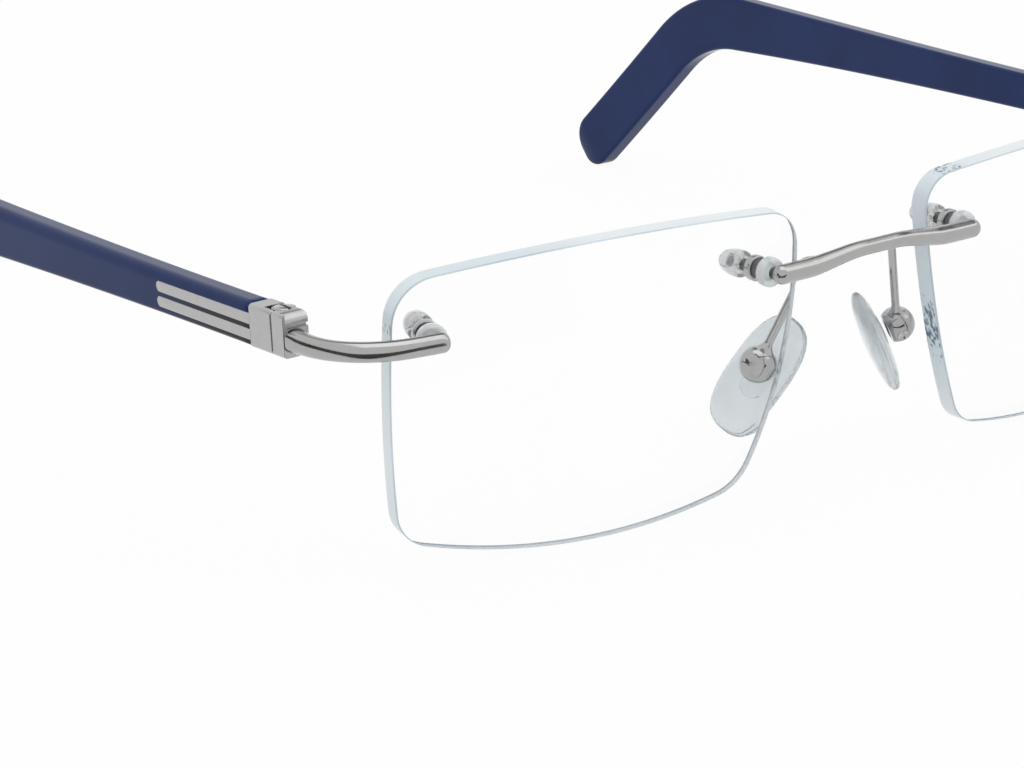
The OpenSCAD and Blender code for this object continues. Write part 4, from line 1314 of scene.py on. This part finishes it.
class GLASSES_OT_temple_hinges(bpy.types.Operator):
    """Adds the metal end of each temple with its knuckle and bars"""

    bl_idname = "glasses.temple_hinges"
    bl_label = "Temple hinges"

    def execute(self, context):
        for side in SIDES:
            block = moved(temple_block_mesh(), from_hinge, side)
            mesh = joined(side + "_temple_metal", [block])
            body, node = side + "_temple_arm", side + "_temple_hinge"
            level_faces(place_piece(mesh, ["satin"], body, node))
        return {"FINISHED"}


# Temples


# Size of the temple's first ring beside the next, the share by which its tip also thins, and the
# share of the bars over which the painted shade by the bars fades.
LEAD_SCALE, TIP_THIN, BAR_SHADE_FADE = 0.975, 0.6, 0.6


def temple_stations(straight=60, bend=24, tip=14, rounding=14):
    """Places along the temple's centre line and the scale that closes its round tip."""
    hinge, temple, mount = sizes("hinge"), sizes("temple"), sizes("mount")
    start = hinge.back + mount.gap
    arc = temple.ear_r * temple.ear_angle
    drop = temple.ear_r * (1 - math.cos(temple.ear_angle))
    rest = (HINGE_AT[2] - temple.tip_height / 2 - drop) / math.sin(temple.ear_angle)
    end = temple.reach + arc + rest
    a = np.linspace(0, np.pi / 2, rounding + 1)[1:-1]
    s = np.concatenate([
        [start, start + temple.lead],
        np.linspace(start, temple.reach, straight + 1)[1:],
        temple.reach + np.linspace(0, arc, bend + 1)[1:],
        temple.reach + arc + np.linspace(0, rest, tip + 1)[1:],
        end + temple.tip_height / 2 * np.sin(a),
    ])
    scale = np.concatenate([[LEAD_SCALE], np.ones(len(s) - len(a) - 1), np.cos(a)])
    return start, end, s, scale


def temple_grid(edge_steps=9, face_steps=12):
    """Rings of the temple from the hinge block to the tip.

    The centre line runs level to the ear bend, round it and down to the tip, and curves inwards with
    the square of the way. The section is a rectangle with four rounded edges whose height grows with
    the square of the way to the ear; the last rings shrink by a circle to a round tip.
    """
    temple = sizes("temple")
    start, end, s, scale = temple_stations()
    turned = np.clip((s - temple.reach) / temple.ear_r, 0, temple.ear_angle)
    rest = np.maximum(s - temple.reach - temple.ear_r * temple.ear_angle, 0)
    level = np.minimum(s, temple.reach)
    along = level + temple.ear_r * np.sin(turned) + rest * math.cos(temple.ear_angle)
    down = temple.ear_r * (np.cos(turned) - 1) - rest * math.sin(temple.ear_angle)
    past = np.maximum(s - temple.ear_in_from, 0) / (end - temple.ear_in_from)
    inward = temple.ear_in * past**2
    grow = np.clip((s - start) / (temple.reach - start), 0, 1) ** 2
    late = np.clip((s - temple.reach) / (end - temple.reach), 0, 1)
    tall = temple.height + (temple.ear_height - temple.height) * grow
    half_h = (tall + (temple.tip_height - temple.ear_height) * late) / 2 * scale
    half_t = temple.thickness / 2 * (1 + (scale - 1) * TIP_THIN)
    half = np.column_stack([half_t, half_h])
    signs = np.array([[1, -1], [-1, -1], [-1, 1], [1, 1]])
    radii = np.array([temple.edge_r, temple.edge_r, temple.top_r, temple.edge_r])
    a = -np.pi / 2 * (np.arange(4)[:, None] + np.linspace(0, 1, edge_steps + 1))
    r = np.minimum(radii, half.min(axis=1)[:, None])[:, :, None, None]
    spoke = r * np.stack([np.cos(a), np.sin(a)], axis=-1)
    arcs = signs[None, :, None] * (half[:, None, None] - r) + spoke
    fill = np.linspace(0, 1, face_steps + 1)[1:-1, None]
    after = np.roll(arcs[:, :, :1], -1, axis=1)
    faces = arcs[:, :, -1:] + (after - arcs[:, :, -1:]) * fill
    section = np.concatenate([arcs, faces], axis=2).reshape(len(s), -1, 2)
    x = temple_middle() + inward[:, None] + section[..., 0]
    y = along[:, None] + section[..., 1] * np.sin(turned)[:, None]
    z = down[:, None] + section[..., 1] * np.cos(turned)[:, None]
    return np.stack([x, y, z], axis=-1)


class GLASSES_OT_temples(bpy.types.Operator):
    """Adds the two temples with their ear bends"""

    bl_idname = "glasses.temples"
    bl_label = "Temples"

    def execute(self, context):
        for side in SIDES:
            shell = Shell().tube(temple_grid()).placed(from_hinge)
            mesh = shell.mesh(side + "_temple_skin", side, ROUND_SHARP)
            paint_bar_shade(mesh, side)
            body, node = side + "_temple_arm", side + "_temple"
            place_piece(mesh, ["temple"], body, node)
        return {"FINISHED"}


def paint_bar_shade(mesh, side):
    """Stores on each vertex how far it lies in the painted shade under and between the bars.

    The painted shade covers the outer half only, fades out along the bars towards their rear ends and
    ends at the middle of the upper bar.
    """
    hinge, temple = sizes("hinge"), sizes("temple")
    x, y, z = ((mesh_points(mesh, side) - HINGE_AT) @ turn(2, temple.splay)).T
    near = np.clip((hinge.back + temple.bar_l - y) / (BAR_SHADE_FADE * temple.bar_l), 0, 1)
    below = np.clip((temple.bar_gap / 2 + temple.bar_h / 2 - z) / (temple.bar_h / 2), 0, 1)
    store(mesh, "bar_field", near * below * (x < temple_middle()))


# Nose pads


def pad_grid(around=72, levels=30, outline=2.7, edge=2.3):
    """Rings of a nose pad: a flat pebble whose outline and edge are both superellipses."""
    pad = sizes("pad")
    up = np.linspace(-np.pi / 2, np.pi / 2, levels + 1)
    size, rise = superellipse(1, pad.thickness / 2, up, edge)
    ring = np.arange(around) * 2 * np.pi / around
    y, z = superellipse(pad.width / 2, pad.length / 2, ring, outline)
    x = np.broadcast_to((pad.floor + pad.thickness / 2 + rise)[:, None], (levels + 1, around))
    return np.stack([x, size[:, None] * y, size[:, None] * z - pad.hang], axis=-1)


class GLASSES_OT_nose_pads(bpy.types.Operator):
    """Adds the two silicone nose pads"""

    bl_idname = "glasses.nose_pads"
    bl_label = "Nose pads"

    def execute(self, context):
        for side in SIDES:
            shell = Shell().tube(pad_grid()).placed(from_pad)
            mesh = shell.mesh(side + "_pad_silicone", side, ROUND_SHARP)
            place_piece(mesh, ["silicone"], side + "_pad", side + "_nose_pad")
        return {"FINISHED"}


def pad_box_mesh(levels=32, sides=72):
    """Round pad box in pad axes: a ball with a flat face, a slot for the lug and a screw hole."""
    pad, mount = sizes("pad"), sizes("mount")
    r, far = pad.box_d / 2, pad.box_d
    a = np.linspace(-np.pi / 2, math.asin(pad.box_face / r), levels + 1)
    ball = lathe(np.column_stack([r * np.cos(a), r * np.sin(a)]), sides)[..., [2, 0, 1]]
    head = math.sqrt(r**2 - (pad.head_d / 2) ** 2)
    slot, deep = pad.lug_t / 2 + pad.lug_gap, pad.lug_r + pad.lug_gap
    pins = [
        pin_mesh(pad.screw_d / 2 + mount.gap, -far, far),
        pin_mesh(pad.head_d / 2 + mount.gap, head - pad.head_h - mount.gap, far),
    ]
    for pin in pins:
        moved(pin, lambda p: p @ turn(0, math.pi / 2).T, "right")
    cut = box_mesh((-deep, -slot, -deep - pad.lug_gap), (far, slot, deep + pad.lug_gap))
    return carved(Shell().tube(ball).mesh("ball"), [("DIFFERENCE", tool) for tool in (cut, *pins)])


def pad_arm_shell(flare_in=0.8):
    """Pad arm: a wire from the back of the bridge, round its knee to the box, where it flares out.

    flare_in is the share of the box's radius at which the flare is full.
    """
    pad = sizes("pad")
    line, _, foot = bridge_line()
    x = pad.arm_root_in - foot
    y, low = line[0, 1:]
    root = stood(np.array([x, y, np.interp(x, line[:, 0], line[:, 2])]))
    knee = stood(np.array([x, y + pad.knee_back, low - pad.knee_drop]))
    points, ways = bent_path([root, knee, PAD_AT], pad.arm_bend, math.radians(5), 0.15 * MM)
    out = np.linalg.norm(points - PAD_AT, axis=1) - flare_in * pad.box_d / 2
    flare = np.clip(1 - out / pad.flare_l, 0, 1) ** 2
    radii = (pad.arm_d + (pad.flare_d - pad.arm_d) * flare) / 2
    normal = unit(np.cross(knee - root, PAD_AT - knee))
    return Shell().tube(swept_rod(points, ways, radii, normal, 32))


class GLASSES_OT_pad_arms(bpy.types.Operator):
    """Adds the two pad arms with their round boxes"""

    bl_idname = "glasses.pad_arms"
    bl_label = "Pad arms"

    def execute(self, context):
        for side in SIDES:
            wire = pad_arm_shell().mesh("arm", side, ROUND_SHARP)
            box = moved(pad_box_mesh(), from_pad, side)
            mesh = joined(side + "_pad_arm_wire", [wire, box])
            looks, node = ("polished", "bright_shaded"), side + "_pad_arm"
            place_piece(mesh, looks, "front", node)
        return {"FINISHED"}


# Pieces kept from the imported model


def smoothing_group():
    """Geometry nodes that weld a CAD node's loose triangles and shade it smooth up to an angle."""
    group = bpy.data.node_groups.new("weld_and_smooth", "GeometryNodeTree")
    group.interface.new_socket("Geometry", in_out="INPUT", socket_type="NodeSocketGeometry")
    group.interface.new_socket("Geometry", in_out="OUTPUT", socket_type="NodeSocketGeometry")
    new = group.nodes.new
    start, end = new("NodeGroupInput"), new("NodeGroupOutput")
    weld = new("GeometryNodeMergeByDistance")
    weld.inputs["Distance"].default_value = WELD
    faces, edges = new("GeometryNodeSetShadeSmooth"), new("GeometryNodeSetShadeSmooth")
    faces.domain, edges.domain = "FACE", "EDGE"
    edges.inputs["Shade Smooth"].default_value = False
    bend, compare = new("GeometryNodeInputMeshEdgeAngle"), new("FunctionNodeCompare")
    compare.operation = "GREATER_THAN"
    compare.inputs["B"].default_value = math.radians(TURNED_SHARP)
    link = group.links.new
    link(start.outputs[0], weld.inputs["Geometry"])
    link(weld.outputs["Geometry"], faces.inputs["Geometry"])
    link(faces.outputs["Geometry"], edges.inputs["Geometry"])
    link(bend.outputs["Unsigned Angle"], compare.inputs["A"])
    link(compare.outputs["Result"], edges.inputs["Selection"])
    link(edges.outputs["Geometry"], end.inputs[0])
    return group


class GLASSES_OT_fittings(bpy.types.Operator):
    """Finishes the pad screws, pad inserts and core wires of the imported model"""

    bl_idname = "glasses.fittings"
    bl_label = "Pad screws, inserts and core wires"

    looks = {"pad_insert": "insert", "pad_screw": "steel", "core_wire": "steel"}

    def execute(self, context):
        group = smoothing_group()
        for side in SIDES:
            for kind, look in self.looks.items():
                node = frame["nodes"][f"{side}_{kind}"]
                node.data.materials.clear()
                node.data.materials.append(finish(look))
                node.modifiers.new("weld_and_smooth", "NODES").node_group = group
        return {"FINISHED"}


# Stage

# Dimmer upper back wall: its heading, where its edge starts and ends as a cosine, and its level.
SCREEN_TOWARD, SCREEN_EDGE, SCREEN_SHADE = (0.45, 0.55, 0.7), (0.94, 0.985), 0.25
ROOM_TINT = (0.97, 0.985, 1, 1)
FLOOR_FIRST, FLOOR_DROP, FLOOR_WHITE = 0.02, 0.02 * MM, 0.94
LAMPS = (
    ("overhead", (0.05, -0.03, 1.0), (0.9, 0.67), "key"),
    ("front_right", (0.59, -0.49, 0.86), (0.6, 0.8), "fill"),
)
CAMERA_RIGHT, CAMERA_UP = (0.81841, -0.57298, -0.04372), (0.20807, 0.22455, 0.95199)
CAMERA_SENSOR, CAMERA_NEAR = 36, 0.01
FLAG_REACH, FLAG_LOWEST, FLAG_ROWS = 0.53, 0.3 * MM, 25
# Dark stripes on the rods, as angles round a rod from the side that faces the camera, downwards.
# The wire's stripe goes from one angle to another, and bows down and widens in the bend. Places are
# lengths along the wire: where the stripe ends, where it changes angle, and middle and width of a bell.
# It starts a lead before the wire, so that the wire's rounded end shows it too.
WIRE_STRIPE_LEAD, WIRE_STRIPE_END, WIRE_STRIPE_TURN = 12 * MM, 15.6 * MM, (8 * MM, 14 * MM)
WIRE_STRIPE_FIRST, WIRE_STRIPE_LAST = math.radians(11.5), math.radians(-4)
WIRE_STRIPE_BOW, WIRE_BOW_AT = math.radians(13), (8.5 * MM, 3.4 * MM)
WIRE_STRIPE_HALF = math.radians(8.5)
WIRE_STRIPE_SWELL, WIRE_SWELL_AT = math.radians(5.5), (8.2 * MM, 1.9 * MM)
# The bridge's stripe lies on top of its level stretches: its ends as x, how far its middle is shifted
# along, and its middle and half width. It goes on past the bridge, so that the flag is no thin strip.
BRIDGE_STRIPE_X, BRIDGE_STRIPE_SHIFT = (-2 * MM, 30 * MM), 12 * MM
BRIDGE_STRIPE, BRIDGE_STRIPE_HALF = math.radians(-36), math.radians(14)


def flag_grid(points, ways, angles):
    """Grid of a dark flag: where the view of a rod's stripe goes once the rod reflects it.

    angles say where round the rod each point of the stripe lies. A ray that falls ends on the floor,
    and the others end at one reach.
    """
    view = unit(points - np.array(sizes("stage").camera))
    facing = unit(ways * np.sum(view * ways, axis=-1, keepdims=True) - view)
    down = np.cross(facing, ways)
    down = down * -np.sign(down[..., 2:])
    normal = facing * np.cos(angles)[..., None] + down * np.sin(angles)[..., None]
    way = view - 2 * np.sum(view * normal, axis=-1, keepdims=True) * normal
    way = way / np.linalg.norm(way[..., :2], axis=-1, keepdims=True)
    reach = np.minimum((points[..., 2] - FLAG_LOWEST) / np.maximum(-way[..., 2], 1e-6), FLAG_REACH)
    return points + way * reach[..., None]


def wire_flag():
    """Dark flag for the stripe along the right wire."""
    points, ways, _ = wire_line()
    run = np.append(0, np.cumsum(np.linalg.norm(np.diff(points, axis=0), axis=1)))
    kept = run <= WIRE_STRIPE_END
    points, ways, run = points[kept], ways[kept], run[kept]
    points[0] -= ways[0] * WIRE_STRIPE_LEAD
    t = np.clip((run - WIRE_STRIPE_TURN[0]) / np.ptp(WIRE_STRIPE_TURN), 0, 1)
    middle = WIRE_STRIPE_FIRST + (WIRE_STRIPE_LAST - WIRE_STRIPE_FIRST) * t * t * (3 - 2 * t)
    middle = middle + WIRE_STRIPE_BOW * bell(run, *WIRE_BOW_AT)
    half = WIRE_STRIPE_HALF + WIRE_STRIPE_SWELL * bell(run, *WIRE_SWELL_AT)
    return flag_grid(points, ways, middle + np.linspace(-1, 1, FLAG_ROWS)[:, None] * half)


def bridge_flag(columns=40):
    """Dark flag for the stripe on top of the bridge, as a level rod in its place would show it."""
    across = np.linspace(-1, 1, FLAG_ROWS)[:, None]
    x = np.linspace(*BRIDGE_STRIPE_X, columns) + BRIDGE_STRIPE_SHIFT * (1 - across**2)
    points = stood(post_foot("nasal")) * [0, 1, 1] + x[..., None] * X_AXIS
    angles = np.broadcast_to(BRIDGE_STRIPE + across * BRIDGE_STRIPE_HALF, x.shape)
    return flag_grid(points, np.broadcast_to(X_AXIS, points.shape), angles)


def white_to_view(tree):
    """The Light Path node, and a one for rays from the camera, off metal and through glass."""
    path = tree.nodes.new("ShaderNodeLightPath")
    seen = path.outputs["Is Camera Ray"]
    for ray in ("Is Glossy Ray", "Is Transmission Ray"):
        either = tree.nodes.new("ShaderNodeMath")
        either.operation = "MAXIMUM"
        tree.links.new(seen, either.inputs[0])
        tree.links.new(path.outputs[ray], either.inputs[1])
        seen = either.outputs[0]
    return path, seen


def make_world(settings):
    """Even room light, white to the camera, with a dimmer upper back wall for the metal to show."""
    world = bpy.data.worlds.new("studio")
    bpy.context.scene.world = world
    world.use_nodes = True
    tree = world.node_tree
    nodes, links = tree.nodes, tree.links
    nodes.clear()
    path, seen = white_to_view(tree)
    room, white = (nodes.new("ShaderNodeBackground") for _ in range(2))
    mix = nodes.new("ShaderNodeMixShader")
    room.inputs["Color"].default_value = ROOM_TINT
    room.inputs["Strength"].default_value = settings.sky
    coords = nodes.new("ShaderNodeTexCoord")
    dark = nodes.new("ShaderNodeVectorMath")
    dark.operation = "DOT_PRODUCT"
    dark.inputs[1].default_value = tuple(unit(np.array(SCREEN_TOWARD)))
    links.new(coords.outputs["Generated"], dark.inputs[0])
    wall = nodes.new("ShaderNodeValToRGB")
    for stop, position, shade in zip(wall.color_ramp.elements, SCREEN_EDGE, (1, SCREEN_SHADE)):
        stop.position, stop.color = position, (shade, shade, shade, 1)
    links.new(dark.outputs["Value"], wall.inputs["Fac"])
    view = nodes.new("ShaderNodeMix")
    view.data_type = "RGBA"
    ends = [s for s in view.inputs if s.type == "RGBA"]
    ends[0].default_value = (1, 1, 1, 1)
    links.new(path.outputs["Is Glossy Ray"], view.inputs["Factor"])
    links.new(wall.outputs["Color"], ends[1])
    links.new(next(s for s in view.outputs if s.type == "RGBA"), white.inputs["Color"])
    links.new(seen, mix.inputs["Fac"])
    links.new(room.outputs[0], mix.inputs[1])
    links.new(white.outputs[0], mix.inputs[2])
    links.new(mix.outputs[0], nodes.new("ShaderNodeOutputWorld").inputs["Surface"])


def floor_finish():
    """Pale matt floor, nearly white to the camera, that keeps a faint soft shadow."""
    made = Finish("pale_floor", Roughness=0.9)
    made.feed(made.ramp(made.noise(30, 2), (0.86, 0.86, 0.86), (0.88, 0.88, 0.88)), "Base Color")
    _, seen = white_to_view(made.material.node_tree)
    share = made.nodes.new("ShaderNodeMath")
    share.operation = "MULTIPLY"
    share.inputs[1].default_value = FLOOR_WHITE
    made.links.new(seen, share.inputs[0])
    return made.show(share.outputs[0], made.nodes.new("ShaderNodeEmission"))


def floor_grid(rings=24, sides=64):
    """Grid of the round floor: rings whose radius grows by a steady factor, closed in the middle."""
    radii = np.geomspace(FLOOR_FIRST, sizes("stage").floor_r, rings)
    flat = lathe(np.column_stack([radii, np.full(rings, -FLOOR_DROP)]), sides)
    middle = np.repeat(flat[:1].mean(axis=1, keepdims=True), sides, axis=1)
    return np.concatenate([middle, flat])


def card_finish():
    """Dark matt card that stands out of view for the polished metal to reflect."""
    made = Finish("dark_card", Roughness=0.9)
    made.feed(made.ramp(made.noise(40, 2), (0.055, 0.055, 0.055), (0.08, 0.08, 0.08)), "Base Color")
    return made.material


def reflected_only(card):
    """Leaves a card to be seen in reflections only."""
    card.visible_camera = card.visible_diffuse = card.visible_shadow = False
    card.visible_transmission = card.visible_volume_scatter = False


class GLASSES_OT_stage(bpy.types.Operator):
    """Adds the floor, the soft lamps, the dark flags and the camera"""

    bl_idname = "glasses.stage"
    bl_label = "Stage"

    def execute(self, context):
        settings = sizes("stage")
        context.scene.view_settings.view_transform = "Standard"
        make_world(settings)
        self.add_stage("floor", Shell().grid(floor_grid()), floor_finish())
        dark = card_finish()
        for name, grid in (("wire_flag", wire_flag()), ("bridge_flag", bridge_flag())):
            reflected_only(self.add_stage(name, Shell().grid(grid, ring=False), dark))
        for name, place, size, power in LAMPS:
            self.add_lamp(name, place, size, getattr(settings, power))
        self.add_camera(settings)
        return {"FINISHED"}

    def add_stage(self, name, shell, material):
        mesh = shell.mesh(name)
        mesh.materials.append(material)
        piece = bpy.data.objects.new(name, mesh)
        bpy.context.scene.collection.objects.link(piece)
        return piece

    def add_lamp(self, name, place, size, power):
        lamp = bpy.data.lights.new(name, "AREA")
        lamp.shape, lamp.energy = "RECTANGLE", power
        lamp.size, lamp.size_y = size
        holder = bpy.data.objects.new(name, lamp)
        holder.location = place
        holder.rotation_euler = Vector(place).to_track_quat("Z", "Y").to_euler()
        bpy.context.scene.collection.objects.link(holder)

    def add_camera(self, settings):
        camera = bpy.data.cameras.new("camera")
        camera.lens, camera.sensor_width = settings.lens, CAMERA_SENSOR
        camera.clip_start = CAMERA_NEAR
        holder = bpy.data.objects.new("camera", camera)
        back = np.cross(CAMERA_RIGHT, CAMERA_UP)
        axes = np.eye(4)
        axes[:3, :3] = np.column_stack([CAMERA_RIGHT, CAMERA_UP, back])
        axes[:3, 3] = settings.camera
        holder.matrix_world = Matrix(axes.tolist())
        bpy.context.scene.collection.objects.link(holder)
        bpy.context.scene.camera = holder


BUILD_ORDER = (
    "stage", "lenses", "mounts", "bridge", "end_pieces", "temple_hinges", "temples", "pad_arms",
    "nose_pads", "fittings",
)


class GLASSES_PT_build(bpy.types.Panel):
    """Lists the build steps and their sizes"""

    bl_idname = "GLASSES_PT_build"
    bl_label = "Rimless Eyeglasses"
    bl_space_type = "VIEW_3D"
    bl_region_type = "UI"
    bl_category = "Eyeglasses"

    def draw(self, context):
        for step in BUILD_ORDER:
            self.layout.operator("glasses." + step)
        for name, group in GROUPS.items():
            box = self.layout.box()
            box.label(text=name.capitalize())
            for field in group.__annotations__:
                box.prop(sizes(name), field)


CLASSES = (
    *GROUPS.values(),
    GLASSES_OT_stage,
    GLASSES_OT_lenses,
    GLASSES_OT_mounts,
    GLASSES_OT_bridge,
    GLASSES_OT_end_pieces,
    GLASSES_OT_temple_hinges,
    GLASSES_OT_temples,
    GLASSES_OT_pad_arms,
    GLASSES_OT_nose_pads,
    GLASSES_OT_fittings,
    GLASSES_PT_build,
)


def register():
    """Registers the classes and hangs the settings on the scene."""
    for cls in CLASSES:
        bpy.utils.register_class(cls)
    for name, group in GROUPS.items():
        setattr(bpy.types.Scene, "glasses_" + name, PointerProperty(type=group))


def unregister():
    """Takes the settings and the classes away again."""
    for name in GROUPS:
        delattr(bpy.types.Scene, "glasses_" + name)
    for cls in reversed(CLASSES):
        bpy.utils.unregister_class(cls)


def main():
    """Builds every piece in order."""
    register()
    for step in BUILD_ORDER:
        getattr(bpy.ops.glasses, step)()


if __name__ == "__main__":
    main()
